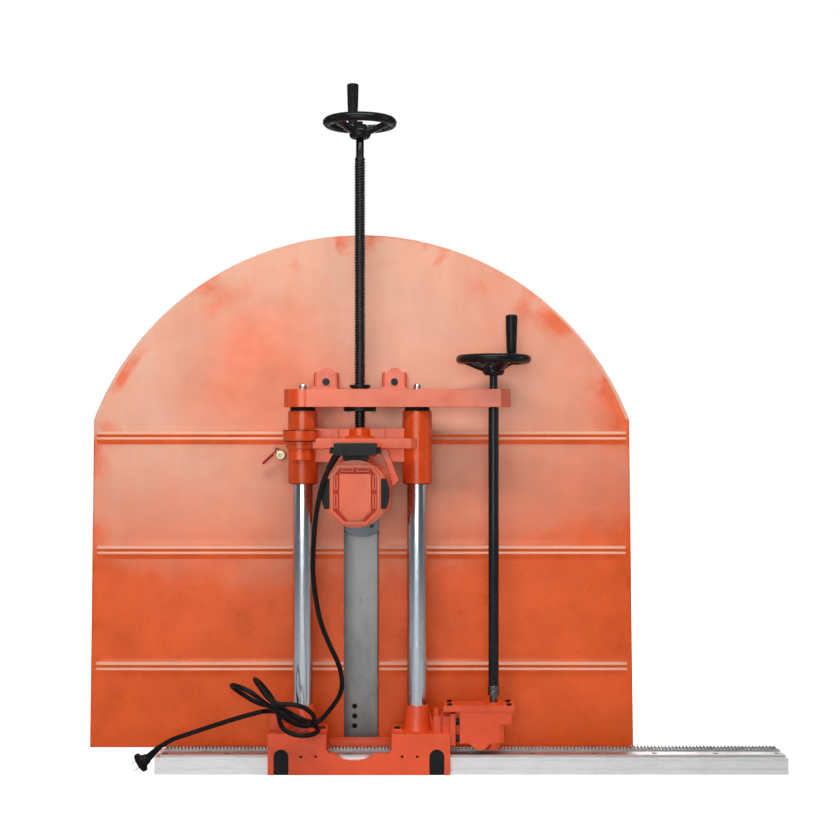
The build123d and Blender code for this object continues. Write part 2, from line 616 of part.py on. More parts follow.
def carriage_casting():
    """Two column sleeves joined by a ribbed cross-member with the lead screw's bearing boss."""
    body = box(-100, 100, -16, 26, 690, 764)
    for side in (-1, 1):
        body += rod(side * COLUMN_X, 0, SLEEVE_Z0, SLEEVE_Z1, SLEEVE_R)
        body += box(side * 52 - 4, side * 52 + 4, -30, -16, 742, 764)
    boss = [(0, 740), (38, 740), (38, 744), (29, 749), (27.5, 764), (13, 764), (12, 769), (0, 769)]
    body += turned(boss, 0, 0, 0)
    for side in (-1, 1):
        for z0, z1 in ((SLEEVE_Z0, SLEEVE_Z0 + 45), (SLEEVE_Z1 - 45, SLEEVE_Z1)):
            body -= rod(side * COLUMN_X, 0, z0, z1, 26)
        body -= rod(side * COLUMN_X, 0, SLEEVE_Z0, SLEEVE_Z1, COLUMN_R + 1.5)
    return body - rod(0, 0, 740.5, 766.9, JOURNAL_R + 0.05) - rod(0, 0, 766.9, 769, SCREW_R + 0.3)


def carriage_bushes():
    """Bronze bushes that run on the columns."""
    rings = []
    for side in (-1, 1):
        for z0, z1 in ((SLEEVE_Z0, SLEEVE_Z0 + 45), (SLEEVE_Z1 - 45, SLEEVE_Z1)):
            ring = rod(side * COLUMN_X, 0, z0, z1, 26)
            rings.append(ring - rod(side * COLUMN_X, 0, z0, z1, COLUMN_R + 0.05))
    return Compound(children=rings)


def front_plate():
    """Cross bar in front of the sleeves, with a stepped boss at its left end."""
    bar = [(-COLUMN_X, -86), (116, -86), (126, -76), (126, -62), (-COLUMN_X, -62)]
    body = outline_z(bar, BAR_Z0, BAR_Z1)
    steps = [(0, 695), (27, 695), (27, 720), (31, 720), (31, 736), (37, 737), (38, 761), (0, 761)]
    body += turned(steps, -COLUMN_X, BOSS_Y, 0)
    body += box(-46, 46, -62, -16, 711, 739.5)
    arm = [(40, 722), (62, 722), (88, 650), (74, 636), (60, 690)]
    return body + outline_y(arm, -74, -62)


def gearcase():
    """Housing of the motor's reduction gear, with the spindle's nose through the guard slot."""
    half = GEARCASE_HALF
    shape = [(-half, 590), (-50, 572), (50, 572), (half, 590), (half, 690), (50, 711), (-50, 711), (-half, 690)]
    body = outline_y(shape, GEARCASE_Y0, GEARCASE_Y1) - box(-half, half, -17, 27, 689, 720)
    body += rod_y(0, SPINDLE_Z, -20, NOSE_Y1, 37.5)
    body -= rod_y(0, MOTOR_Z, -52, -8, 58)
    body -= rod_y(0, MOTOR_Z, -8, 24, 18.5)
    body -= rod_y(0, SPINDLE_Z, -2, 18, 35)
    body -= rod_y(0, SPINDLE_Z, -14, NOSE_Y1, 21)
    return body - rod_y(0, MOTOR_Z, -62, -8, 30)


def motor_housing():
    """Motor barrel with cooling ribs along it."""
    barrel = rod_y(0, MOTOR_Z, MOTOR_Y0 + CAP_DEPTH, MOTOR_Y1, MOTOR_R - 3)
    for step in range(24):
        a = 2 * pi * step / 24
        rib = Pos(0, (MOTOR_Y0 + CAP_DEPTH + MOTOR_Y1) / 2, MOTOR_Z) * Rot(Y=degrees(a))
        barrel += rib * Pos(MOTOR_R - 4, 0, 0) * Box(8, MOTOR_Y1 - MOTOR_Y0 - CAP_DEPTH - 16, 3)
    return barrel - rod_y(0, MOTOR_Z, MOTOR_Y0 + CAP_DEPTH, MOTOR_Y1, 60)


def motor_end_cap():
    """Front cap with its raised plate and the two vent windows."""
    cap = rod_y(0, MOTOR_Z, MOTOR_Y0 + 6, MOTOR_Y0 + CAP_DEPTH, MOTOR_R)
    cap += rod_y(0, MOTOR_Z, MOTOR_Y0 + 3, MOTOR_Y0 + 6, MOTOR_R - 4)
    plate = [(-33, 668), (33, 668), (33, 592), (13, 570), (-13, 570), (-33, 592)]
    cap += outline_y(plate, MOTOR_Y0, MOTOR_Y0 + 3)
    cap -= rod_y(0, MOTOR_Z, MOTOR_Y0 + 10, MOTOR_Y0 + CAP_DEPTH, 60)
    return cap - vent_shape(0)


def vent_shape(shrink):
    """The two round-sided windows at the cap's left and right."""
    y0, y1 = MOTOR_Y0 + 2, MOTOR_Y0 + 18
    disc = rod_y(0, MOTOR_Z, y0, y1, MOTOR_R + 1 - shrink * 1.5)
    sides = [box(s * 66.5 - 13, s * 66.5 + 13, y0, y1, 597 + shrink, 660 - shrink) for s in (-1, 1)]
    inner = rod_y(0, MOTOR_Z, y0, y1, 52 + shrink)
    return (disc & (sides[0] + sides[1])) - inner


def motor_vents():
    """Black louvred inserts in the cap's windows."""
    return vent_shape(0.3)


def stator():
    ring = rod_y(0, MOTOR_Z, -200, -90, 60)
    return ring - rod_y(0, MOTOR_Z, -200, -90, 41)


def switch_box():
    """Black junction box on top of the motor."""
    body = box(-SWITCH_HALF, SWITCH_HALF, SWITCH_Y0, SWITCH_Y1, SWITCH_Z0, SWITCH_Z1)
    body = fillet(body.edges().filter_by(Axis.Y), 4)
    body += box(-26, 26, -245, SWITCH_Y1, MOTOR_Z + MOTOR_R - 1.5, SWITCH_Z0)
    return body - rod_y(0, MOTOR_Z, -246, SWITCH_Y1, MOTOR_R + 0.1)


def switch_screws():
    """Fixing lugs of the junction box, with their screws."""
    pieces = []
    for side in (-1, 1):
        x = side * (SWITCH_HALF + 5)
        lug = box(x - 5, x + 5, -246, -226, SWITCH_Z0 + 4, SWITCH_Z0 + 12)
        pieces.append(lug + rod(x, -236, SWITCH_Z0 + 12, SWITCH_Z0 + 17, 4))
    return Compound(children=pieces)


def bearing_ring(z, y0, y1, inner, outer):
    return rod_y(0, z, y0, y1, outer) - rod_y(0, z, y0, y1, inner)


def spindle_bearings():
    rings = [bearing_ring(SPINDLE_Z, y0, y0 + 14, 17.05, 21) for y0 in (-14, NOSE_Y1 - 16)]
    return Compound(children=rings)


def motor_bearings():
    """Ring bearings of the armature, at the cap and at the gear end."""
    front = bearing_ring(MOTOR_Z, MOTOR_Y0 + 10, MOTOR_Y0 + 22, 10.05, 20)
    return Compound(children=[front, bearing_ring(MOTOR_Z, -62, -52, 10.05, 30)])


def armature():
    """Rotor with its shaft and the drive pinion."""
    rotor = rod_y(0, MOTOR_Z, -205, -85, 40) + rod_y(0, MOTOR_Z, MOTOR_Y0 + 11, 0, 10)
    return rotor + gear_y(ARMATURE_TEETH, DRIVE_MODULE, -90, 0, MOTOR_Z, 0, 16)


def spindle():
    """Spindle with its gear."""
    gear = gear_y(SPINDLE_TEETH, DRIVE_MODULE, 90 + 180 / SPINDLE_TEETH, 0, SPINDLE_Z, 1, 15)
    return gear + rod_y(0, SPINDLE_Z, -13.5, FLANGE_Y0 + 6, 17)


def blade_flange():
    """Flange that the blade is clamped to, with its seat and six tapped holes."""
    flange = rod_y(0, SPINDLE_Z, FLANGE_Y0, FLANGE_Y1, FLANGE_R)
    flange += rod_y(0, SPINDLE_Z, FLANGE_Y1, FLANGE_Y1 + ARBOR_L, ARBOR_R)
    flange -= rod_y(0, SPINDLE_Z, FLANGE_Y0, FLANGE_Y0 + 6, 17)
    for step in range(6):
        a = pi / 3 * step
        flange -= rod_y(48 * cos(a), SPINDLE_Z + 48 * sin(a), FLANGE_Y0, FLANGE_Y1, 4.2)
    return flange


def cord_path(points):
    """The cord's centreline: straight runs joined by arcs as wide as the runs allow."""
    radii = []
    for a, b, c in zip(points, points[1:], points[2:]):
        u, v = Vector(*b) - Vector(*a), Vector(*c) - Vector(*b)
        turn = radians(u.get_angle(v))
        radii.append(0.45 * min(u.length, v.length) / tan(turn / 2))
    path = FilletPolyline(*points, radius=radii)
    return path, radii


def cord_tube(name, points):
    path, radii = cord_path(points)
    profile = Plane(origin=path @ 0, z_dir=path % 0) * Circle(CORD_D / 2)
    tube = sweep(profile, path=path)
    section = pi * CORD_D**2 / 4
    print(name, "length", round(path.length, 1), "radii", [round(r) for r in radii])
    print(name, "volume ratio", round(tube.volume / (section * path.length), 4))
    return tube


def cord_bundle():
    """Outer shape of the cord's loops: a heap on the left block, and two loops that stand out to the left."""
    heap = [(-212, 160), (-150, 166), (-94, 158), (-86, 146), (-86, 100), (-96, 93.5)]
    heap += [(-158, 93.5), (-180, 118), (-212, 133)]
    loops = [(-268, 198), (-228, 214), (-200, 182), (-200, 147), (-212, 147), (-256, 178)]
    return outline_y(heap, BUNDLE_Y0, BUNDLE_Y1) + outline_y(loops, LOOPS_Y0, LOOPS_Y1)


def cord_gland():
    """Tapered strain relief at the junction box's lower left edge, along the cord's first run."""
    start = Vector(*CORD_DROP[0])
    along = (Vector(*CORD_DROP[1]) - start).normalized()
    return between(start - along * 18, start - along * 0.3, 8.6, 6.4)


def plug_body():
    """Round plug with a waisted body."""
    front = PLUG_CENTRE + PLUG_AXIS * 3
    disc = between(PLUG_CENTRE - PLUG_AXIS * 6, front, PLUG_R, PLUG_R)
    return disc + between(PLUG_REAR, PLUG_CENTRE - PLUG_AXIS * 6, PLUG_WAIST_R, 17)


def plug_relief():
    """Tapered sleeve where the cord enters the plug."""
    return between(PLUG_REAR, CORD_TAIL[-1], 8.4, 6.0)


def plug_pins():
    """Two flat pins."""
    pins = []
    for side in (-1, 1):
        plane = Plane(origin=PLUG_CENTRE + PLUG_AXIS * 3, x_dir=(0, 1, 0), z_dir=PLUG_AXIS)
        pins.append(plane * Pos(0, side * 8, 8.5) * Box(1.6, 6.3, 17))
    return Compound(children=pins)


NODES = {
    "rail_extrusion": rail_extrusion,
    "guide_strip": guide_strip,
    "rack": rack,
    "rail_screws": rail_screws,
    "base_casting": base_casting,
    "arch_inserts": arch_inserts,
    "slide_pads": slide_pads,
    "adjusting_screws": adjusting_screws,
    "base_bolts": base_bolts,
    "column_left": lambda: column(-1),
    "column_right": lambda: column(1),
    "column_caps": column_caps,
    "bumpers": bumpers,
    "top_plate": top_plate,
    "feed_nut": feed_nut,
    "feed_nut_screws": feed_nut_screws,
    "tube_bush": tube_bush,
    "guard_lug_left": lambda: guard_lug(LUG_X[0]),
    "guard_lug_right": lambda: guard_lug(LUG_X[1]),
    "lug_bolts": lug_bolts,
    "guard_front_sheet": guard_front_sheet,
    "guard_rim": guard_rim,
    "guard_back_sheet": guard_back_sheet,
    "wear_strip": wear_strip,
    "strip_rivets": strip_rivets,
    "valve_body": valve_body,
    "valve_lever": valve_lever,
    "gearbox_housing": gearbox_housing,
    "gearbox_cover": gearbox_cover,
    "gearbox_screws": gearbox_screws,
    "travel_shaft": travel_shaft,
    "worm": worm,
    "travel_handwheel": lambda: handwheel(WORM_X, WORM_Y, TRAVEL_HUB_Z, GRIP_ANGLE_TRAVEL, SHAFT_R),
    "travel_grip": lambda: grip(WORM_X, WORM_Y, TRAVEL_HUB_Z, GRIP_ANGLE_TRAVEL),
    "worm_wheel": worm_wheel,
    "pinion_shaft": pinion_shaft,
    "feed_screw": feed_screw,
    "feed_handwheel": lambda: handwheel(0, 0, FEED_HUB_Z, GRIP_ANGLE_FEED, NECK_R),
    "feed_grip": lambda: grip(0, 0, FEED_HUB_Z, GRIP_ANGLE_FEED),
    "feed_hub_nut": feed_hub_nut,
    "carriage_casting": carriage_casting,
    "carriage_bushes": carriage_bushes,
    "front_plate": front_plate,
    "gearcase": gearcase,
    "motor_housing": motor_housing,
    "motor_end_cap": motor_end_cap,
    "motor_vents": motor_vents,
    "stator": stator,
    "switch_box": switch_box,
    "switch_screws": switch_screws,
    "spindle_bearings": spindle_bearings,
    "motor_bearings": motor_bearings,
    "armature": armature,
    "spindle": spindle,
    "blade_flange": blade_flange,
    "cord_drop": lambda: cord_tube("cord_drop", CORD_DROP),
    "cord_bundle": cord_bundle,
    "cord_tail": lambda: cord_tube("cord_tail", CORD_TAIL),
    "cord_gland": cord_gland,
    "plug": lambda: Compound(children=[plug_body() + plug_relief() + plug_pins()]),
}

if __name__ == "__main__":
    os.makedirs("parts", exist_ok=True)
    for name, make in NODES.items():
        export_step(make(), f"parts/{name}.step")
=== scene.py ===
"""Looks of the rail-mounted wall saw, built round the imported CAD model. Metres, in the CAD frame."""

import json
from math import cos, pi, radians, sin, sqrt

import bmesh
import bpy
import numpy as np
from mathutils import Matrix, Vector


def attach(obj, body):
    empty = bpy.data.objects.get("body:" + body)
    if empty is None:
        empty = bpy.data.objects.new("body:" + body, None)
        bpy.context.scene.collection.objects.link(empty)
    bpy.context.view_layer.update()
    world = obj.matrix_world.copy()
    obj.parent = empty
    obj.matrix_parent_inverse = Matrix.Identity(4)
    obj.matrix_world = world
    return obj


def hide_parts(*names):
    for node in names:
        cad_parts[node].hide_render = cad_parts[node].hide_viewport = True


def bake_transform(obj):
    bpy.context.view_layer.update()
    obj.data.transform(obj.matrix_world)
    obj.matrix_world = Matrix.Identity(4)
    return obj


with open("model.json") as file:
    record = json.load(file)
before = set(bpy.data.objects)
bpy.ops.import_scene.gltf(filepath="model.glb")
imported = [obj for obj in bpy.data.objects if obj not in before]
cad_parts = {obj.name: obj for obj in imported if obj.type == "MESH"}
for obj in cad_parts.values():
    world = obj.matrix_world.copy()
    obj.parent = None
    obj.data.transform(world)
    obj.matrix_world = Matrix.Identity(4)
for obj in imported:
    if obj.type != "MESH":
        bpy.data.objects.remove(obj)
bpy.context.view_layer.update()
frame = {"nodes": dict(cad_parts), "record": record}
record = frame["record"]
BODY = {n: b for b, names in record["behaviour"]["bodies"].items() for n in names}
SLOT = {s["node"]: s["material_slot"] for s in record["subparts"]}


# ---------------------------------------------------------------- materials
class Finish:
    """A material's node tree, with short calls for what the finishes share."""

    def __init__(self, name):
        self.mat = bpy.data.materials.new(name)
        self.mat.use_nodes = True
        self.tree = self.mat.node_tree
        self.shader = self.tree.nodes["Principled BSDF"]
        self.place = self.node("ShaderNodeTexCoord").outputs["Object"]

    def node(self, kind, **values):
        made = self.tree.nodes.new(kind)
        for key, value in values.items():
            setattr(made, key, value)
        return made

    def put(self, socket, value):
        if isinstance(value, bpy.types.NodeSocket):
            self.tree.links.new(value, socket)
        elif isinstance(value, (tuple, list)) and len(value) == 3 and socket.type == "RGBA":
            socket.default_value = (*value, 1)
        else:
            socket.default_value = value

    def set(self, **values):
        for key, value in values.items():
            self.put(self.shader.inputs[key.replace("_", " ")], value)
        return self

    def stretch(self, scale):
        mapping = self.node("ShaderNodeMapping")
        self.put(mapping.inputs["Vector"], self.place)
        mapping.inputs["Scale"].default_value = scale
        return mapping.outputs["Vector"]

    def noise(self, scale, detail=3.0, rough=0.5, stretch=(1, 1, 1), twist=0.0):
        made = self.node("ShaderNodeTexNoise")
        self.put(made.inputs["Vector"], self.stretch(stretch))
        for key, value in (("Scale", scale), ("Detail", detail), ("Roughness", rough), ("Distortion", twist)):
            made.inputs[key].default_value = value
        return made.outputs["Fac"]

    def ramp(self, factor, stops):
        made = self.node("ShaderNodeValToRGB")
        self.put(made.inputs["Fac"], factor)
        elements = made.color_ramp.elements
        while len(elements) < len(stops):
            elements.new(0.5)
        for element, (at, value) in zip(elements, stops):
            element.position = at
            element.color = (value, value, value, 1) if isinstance(value, (int, float)) else (*value, 1)
        return made.outputs["Color"]

    def mix(self, factor, a, b, blend="MIX"):
        made = self.node("ShaderNodeMix", data_type="RGBA", blend_type=blend)
        self.put(made.inputs[0], factor)
        self.put(made.inputs[6], a)
        self.put(made.inputs[7], b)
        return made.outputs[2]

    def sum(self, op, a, b):
        made = self.node("ShaderNodeMath", operation=op)
        self.put(made.inputs[0], a)
        self.put(made.inputs[1], b)
        return made.outputs[0]

    def wear(self):
        return self.node("ShaderNodeAttribute", attribute_name="wear").outputs["Fac"]

    def height(self, *layers):
        """Bump from (factor, depth in metres) layers."""
        normal = None
        for factor, depth in layers:
            made = self.node("ShaderNodeBump")
            made.inputs["Strength"].default_value = 1.0
            made.inputs["Distance"].default_value = depth
            self.put(made.inputs["Height"], factor)
            if normal is not None:
                self.put(made.inputs["Normal"], normal)
            normal = made.outputs["Normal"]
        return self.set(Normal=normal)


ORANGE = (0.78, 0.070, 0.004)
UPPER = (0.66, 0.060, 0.004)
WARM = (1.0, 0.82, 0.68)
GUARD_ORANGE = (0.76, 0.088, 0.006)
# Pale colour of the guard's dust, which also serves as its painted sheen.
DUST_SHEEN_COLOUR = (0.70, 0.49, 0.37)
HAZE_GAP, ARC_CENTRE = (-0.24, 0.87), (0.0, 0.55)


def distance(f, x, z):
    """Distance of a point from the line along Y through (x, z)."""
    split = f.node("ShaderNodeSeparateXYZ")
    f.put(split.inputs[0], f.place)
    across = f.sum("POWER", f.sum("SUBTRACT", split.outputs[0], x), 2)
    up = f.sum("POWER", f.sum("SUBTRACT", split.outputs[2], z), 2)
    return f.sum("SQRT", f.sum("ADD", across, up), 0)


def guard_dust_and_sheen(f):
    """The guard's dust mixed with painted sheen, thick above, thin below and thinner to the right; marked
    faces get painted shade (none of it) or painted highlight (all of it).
    """
    split = f.node("ShaderNodeSeparateXYZ")
    f.put(split.inputs[0], f.place)
    drift = f.sum("MULTIPLY", f.sum("SUBTRACT", f.noise(2.3, 4, 0.6, twist=0.8), 0.5), 0.5)
    high = f.ramp(f.sum("ADD", split.outputs[2], drift),
                  [(0.40, 0.0), (0.52, 0.42), (0.74, 0.88), (0.95, 1.0)])
    aside = f.ramp(f.sum("ADD", f.sum("MULTIPLY", split.outputs[0], 0.5), f.sum("ADD", drift, 0.5)),
                   [(0.30, 1.0), (0.58, 0.95), (0.80, 0.55)])
    # less dust and painted sheen beside the carriage, and in blotches along the arc
    spread = f.sum("ADD", distance(f, *HAZE_GAP), f.sum("MULTIPLY", drift, 0.6))
    near = f.ramp(spread, [(0.08, 0.35), (0.27, 1.0)])
    blot = f.ramp(f.noise(6.5, 5, 0.55, twist=0.5), [(0.50, 0.0), (0.62, 1.0)])
    blot = f.sum("MULTIPLY", blot, f.ramp(distance(f, *ARC_CENTRE), [(0.57, 0.0), (0.63, 0.85)]))
    streak = f.ramp(f.noise(34, 6, 0.7, (1, 1, 0.25)), [(0.30, 0.88), (0.65, 1.0)])
    haze = f.sum("MULTIPLY", f.sum("MULTIPLY", high, aside), f.sum("MULTIPLY", near, streak))
    haze = f.sum("MULTIPLY", haze, f.sum("SUBTRACT", 1.0, blot))
    # Marked faces: +1 on rib flanks facing down and on the hem is painted shade, which takes the pale colour
    # away; -1 on flanks facing up and inside the arc's edge is painted highlight, which gives all of it.
    mark = f.node("ShaderNodeAttribute", attribute_name="painted_shade").outputs["Fac"]
    painted_shade = f.sum("MAXIMUM", mark, 0.0)
    painted_highlight = f.sum("MAXIMUM", f.sum("MULTIPLY", mark, -1.0), 0.0)
    return f.sum("MAXIMUM", f.sum("MULTIPLY", haze, f.sum("SUBTRACT", 1.0, painted_shade)), painted_highlight), painted_shade


def paint(name, colour=ORANGE, grain=0.00006, cast=0.0, rough=0.33, dust_sheen=0.0, chips=0.5, shine=0.5,
          tint=(1, 1, 1)):
    """Semi-gloss powder coat: orange peel, faint mottling, dust smudges mixed with painted sheen, and edges
    worn to primer.
    """
    f = Finish(name)
    deep = tuple(c * 0.80 for c in colour)
    light = tuple(min(1, c * 1.06 + 0.012) for c in colour)
    tone = f.mix(f.ramp(f.noise(9, 4, 0.6), [(0.3, 0.0), (0.72, 1.0)]), deep, light)
    speck = f.ramp(f.noise(420, 2, 0.6), [(0.62, 0.0), (0.74, 1.0)])
    tone = f.mix(f.sum("MULTIPLY", speck, 0.22), tone, tuple(c * 0.55 for c in colour))
    gloss = f.ramp(f.noise(26, 5, 0.65), [(0.3, rough - 0.05), (0.75, rough + 0.13)])
    # On the guard a pale colour stands for dust and painted sheen together, with painted shade and painted
    # highlight on marked faces.
    if dust_sheen:
        haze, painted_shade = guard_dust_and_sheen(f)
        tone = f.mix(f.sum("MULTIPLY", haze, dust_sheen), tone, DUST_SHEEN_COLOUR)
        gloss = f.sum("ADD", gloss, f.sum("MULTIPLY", haze, 0.10))
        gloss = f.sum("ADD", gloss, f.sum("MULTIPLY", painted_shade, 0.20))
    worn = f.ramp(f.sum("MULTIPLY", f.wear(), f.noise(130, 5, 0.7)), [(0.56, 0.0), (0.62, 1.0)])
    tone = f.mix(f.sum("MULTIPLY", worn, chips), tone, (0.10, 0.045, 0.03))
    f.set(Base_Color=tone, Roughness=gloss, Specular_IOR_Level=shine, Specular_Tint=tint)
    f.set(Coat_Weight=0.06, Coat_Roughness=0.15)
    layers = [(f.noise(330, 2, 0.5), grain)]
    if cast:
        layers.append((f.noise(120, 4, 0.6), cast))
    return f.height(*layers).mat


def metal(name, colour, rough, lines=None, dirt=0.3, dirt_colour=(0.08, 0.05, 0.035), depth=0.00002,
          spots=0.0, metallic=1.0):
    """Machined or ground metal: lines along one axis, stains, rust specks and paler worn edges."""
    f = Finish(name)
    stretch = {"x": (0.02, 1, 1), "y": (1, 0.02, 1), "z": (1, 1, 0.02), None: (1, 1, 1)}[lines]
    fine = f.noise(900 if lines else 260, 3, 0.7, stretch)
    coarse = f.noise(160, 4, 0.75, tuple(1 if s == 1 else 0.05 for s in stretch))
    shade = f.ramp(fine, [(0.25, 0.72), (0.75, 1.0)])
    tone = f.mix(1.0, colour, shade, "MULTIPLY")
    stain = f.ramp(f.noise(11, 6, 0.68, twist=0.4), [(0.45, 0.0), (0.75, 1.0)])
    tone = f.mix(f.sum("MULTIPLY", stain, dirt), tone, dirt_colour)
    if spots:
        rust = f.ramp(f.noise(95, 5, 0.7), [(0.66, 0.0), (0.72, 1.0)])
        tone = f.mix(f.sum("MULTIPLY", rust, spots), tone, (0.16, 0.06, 0.025))
    tone = f.mix(f.sum("MULTIPLY", f.wear(), 0.35), tone, tuple(min(1, c * 1.25) for c in colour))
    gloss = f.ramp(coarse, [(0.3, rough - 0.06), (0.8, rough + 0.12)])
    gloss = f.sum("ADD", gloss, f.sum("MULTIPLY", stain, 0.15))
    f.set(Base_Color=tone, Roughness=gloss, Metallic=metallic)
    return f.height((fine, depth), (coarse, depth * 1.5)).mat


def plastic(name, colour, rough, grain=0.00008, scale=420.0, haze=0.12, metallic=0.0, coat=0.0):
    """Moulded or enamelled black parts: fine grain, dust in patches, paler rubbed edges."""
    f = Finish(name)
    fine = f.noise(scale, 3, 0.6)
    patch = f.ramp(f.noise(21, 6, 0.7), [(0.42, 0.0), (0.78, 1.0)])
    tone = f.mix(f.sum("MULTIPLY", patch, haze), colour, tuple(c * 0.7 + 0.07 for c in colour))
    tone = f.mix(f.sum("MULTIPLY", f.wear(), 0.30), tone, tuple(min(1, c * 1.6 + 0.05) for c in colour))
    gloss = f.ramp(f.noise(60, 4, 0.6), [(0.3, max(rough - 0.07, 0.05)), (0.75, rough + 0.10)])
    f.set(Base_Color=tone, Roughness=gloss, Metallic=metallic, Coat_Weight=coat, Coat_Roughness=0.15)
    f.set(Specular_IOR_Level=0.11)
    return f.height((fine, grain)).mat


def chrome(name):
    """Hard chromed bar with fine lengthwise polish lines, faint handling marks and a few scores."""
    f = Finish(name)
    lines = f.noise(700, 2, 0.6, (1, 1, 0.03))
    marks = f.ramp(f.noise(34, 6, 0.7, (1, 1, 0.6)), [(0.55, 0.0), (0.75, 1.0)])
    tone = f.mix(f.sum("MULTIPLY", marks, 0.25), (0.60, 0.66, 0.72), (0.38, 0.37, 0.37))
    gloss = f.sum("ADD", f.ramp(lines, [(0.3, 0.15), (0.8, 0.23)]), f.sum("MULTIPLY", marks, 0.16))
    f.set(Base_Color=tone, Roughness=gloss, Metallic=1.0)
    return f.height((lines, 0.000004)).mat


def worn_steel(name):
    """Bare steel strip: long scratches, grey oxide clouds, brown specks and pale rub marks."""
    f = Finish(name)
    lines = f.noise(1100, 4, 0.8, (1, 1, 0.012))
    cloud = f.noise(14, 7, 0.7, (1, 1, 0.35), 0.5)
    tone = f.mix(f.ramp(cloud, [(0.35, 0.0), (0.7, 1.0)]), (0.18, 0.19, 0.19), (0.36, 0.375, 0.37))
    tone = f.mix(f.ramp(lines, [(0.60, 0.0), (0.72, 0.55)]), tone, (0.10, 0.095, 0.09))
    tone = f.mix(f.ramp(lines, [(0.26, 0.5), (0.36, 0.0)]), tone, (0.55, 0.55, 0.53))
    speck = f.ramp(f.noise(150, 4, 0.75), [(0.68, 0.0), (0.73, 1.0)])
    tone = f.mix(f.sum("MULTIPLY", speck, 0.8), tone, (0.13, 0.05, 0.02))
    f.set(Base_Color=tone, Roughness=f.ramp(cloud, [(0.3, 0.34), (0.75, 0.56)]), Metallic=0.85)
    return f.height((lines, 0.00003), (speck, 0.00005)).mat


MATERIAL = {
    "rail_alloy": metal("rail_alloy_mat", (0.93, 0.95, 0.96), 0.34, "x", 0.16, (0.30, 0.22, 0.16), spots=0.35,
                        metallic=0.55),
    "strip_steel": metal("strip_steel_mat", (0.62, 0.60, 0.58), 0.42, "x", 0.30, (0.20, 0.12, 0.08),
                         spots=0.6),
    "rack_steel": metal("rack_steel_mat", (0.58, 0.58, 0.57), 0.36, "y", 0.35, (0.06, 0.05, 0.04), spots=0.5),
    "black_screws": plastic("black_screws_mat", (0.012, 0.012, 0.013), 0.34, metallic=0.4),
    "base_paint": paint("base_paint_mat", cast=0.00016, rough=0.36, chips=0.8),
    "insert_black": plastic("insert_black_mat", (0.010, 0.010, 0.012), 0.45, 0.0002),
    "pad_plastic": plastic("pad_plastic_mat", (0.03, 0.03, 0.03), 0.5),
    "column_chrome": chrome("column_chrome_mat"),
    "cap_steel": metal("cap_steel_mat", (0.50, 0.50, 0.49), 0.30, None, 0.12),
    "bumper_rubber": plastic("bumper_rubber_mat", (0.007, 0.007, 0.008), 0.55, 0.00015),
    "plate_paint": paint("plate_paint_mat", UPPER, cast=0.00010, rough=0.20, chips=0.7, shine=0.6, tint=WARM),
    "nut_black": plastic("nut_black_mat", (0.012, 0.013, 0.014), 0.34, metallic=0.4),
    "bronze": metal("bronze_mat", (0.55, 0.33, 0.14), 0.35, "z", 0.3),
    # The guard's paint: dust and painted sheen in its colour, with painted shade and painted highlight on the
    # rib flanks and edges.
    "guard_paint": paint("guard_paint_mat", GUARD_ORANGE, 0.00004, 0.0, 0.28, 0.70, 0.4,
                         tint=(1.0, 0.75, 0.58)),
    "wear_steel": worn_steel("wear_steel_mat"),
    "brass": metal("brass_mat", (0.56, 0.45, 0.22), 0.36, None, 0.30, (0.24, 0.12, 0.03)),
    "lever_red": plastic("lever_red_mat", (0.36, 0.006, 0.012), 0.30, 0.00004, haze=0.05, coat=0.3),
    "black_steel": metal("black_steel_mat", (0.055, 0.056, 0.06), 0.34, "z", 0.30, (0.02, 0.018, 0.016)),
    "handwheel_black": plastic("handwheel_black_mat", (0.007, 0.007, 0.008), 0.24, 0.00010, 260.0, 0.05,
                               coat=0.12),
    "grip_plastic": plastic("grip_plastic_mat", (0.008, 0.009, 0.010), 0.28, 0.00006, 500.0, 0.05),
    "gear_steel": metal("gear_steel_mat", (0.52, 0.52, 0.53), 0.26, "y", 0.25),
    "carriage_paint": paint("carriage_paint_mat", UPPER, cast=0.00010, rough=0.20, chips=0.7, shine=0.42,
                            tint=WARM),
    "motor_paint": paint("motor_paint_mat", UPPER, cast=0.00009, rough=0.30, chips=0.6, shine=0.6, tint=WARM),
    "vent_black": plastic("vent_black_mat", (0.008, 0.009, 0.011), 0.40),
    "stator_core": metal("stator_core_mat", (0.25, 0.24, 0.23), 0.45, "y", 0.4),
    "box_plastic": plastic("box_plastic_mat", (0.008, 0.010, 0.012), 0.36, 0.00012, 700.0, 0.08),
    "flange_steel": metal("flange_steel_mat", (0.17, 0.20, 0.23), 0.46, None, 0.3, spots=0.3),
    "cord_rubber": plastic("cord_rubber_mat", (0.006, 0.006, 0.007), 0.40, 0.00007, 300.0, 0.06),
}
TUBE_BLACK = plastic("tube_black_mat", (0.010, 0.011, 0.013), 0.27, 0.00005, 300.0, 0.08, coat=0.15)
OXIDE = metal("oxide_mat", (0.16, 0.16, 0.17), 0.20, None, 0.25, (0.02, 0.02, 0.02))
ZINC = metal("zinc_mat", (0.42, 0.42, 0.41), 0.32, None, 0.25, (0.2, 0.15, 0.1))
# Darker, more saturated copy of the upper paint with little shine: painted shade on the motor face's recessed
# floor.
RECESS_SHADE = paint("motor_recess_shade_mat", (0.62, 0.040, 0.003), cast=0.00010, rough=0.55, chips=0.2, shine=0.15)
PIN_BRASS = metal("pin_brass_mat", (0.74, 0.60, 0.36), 0.24, "x", 0.2)


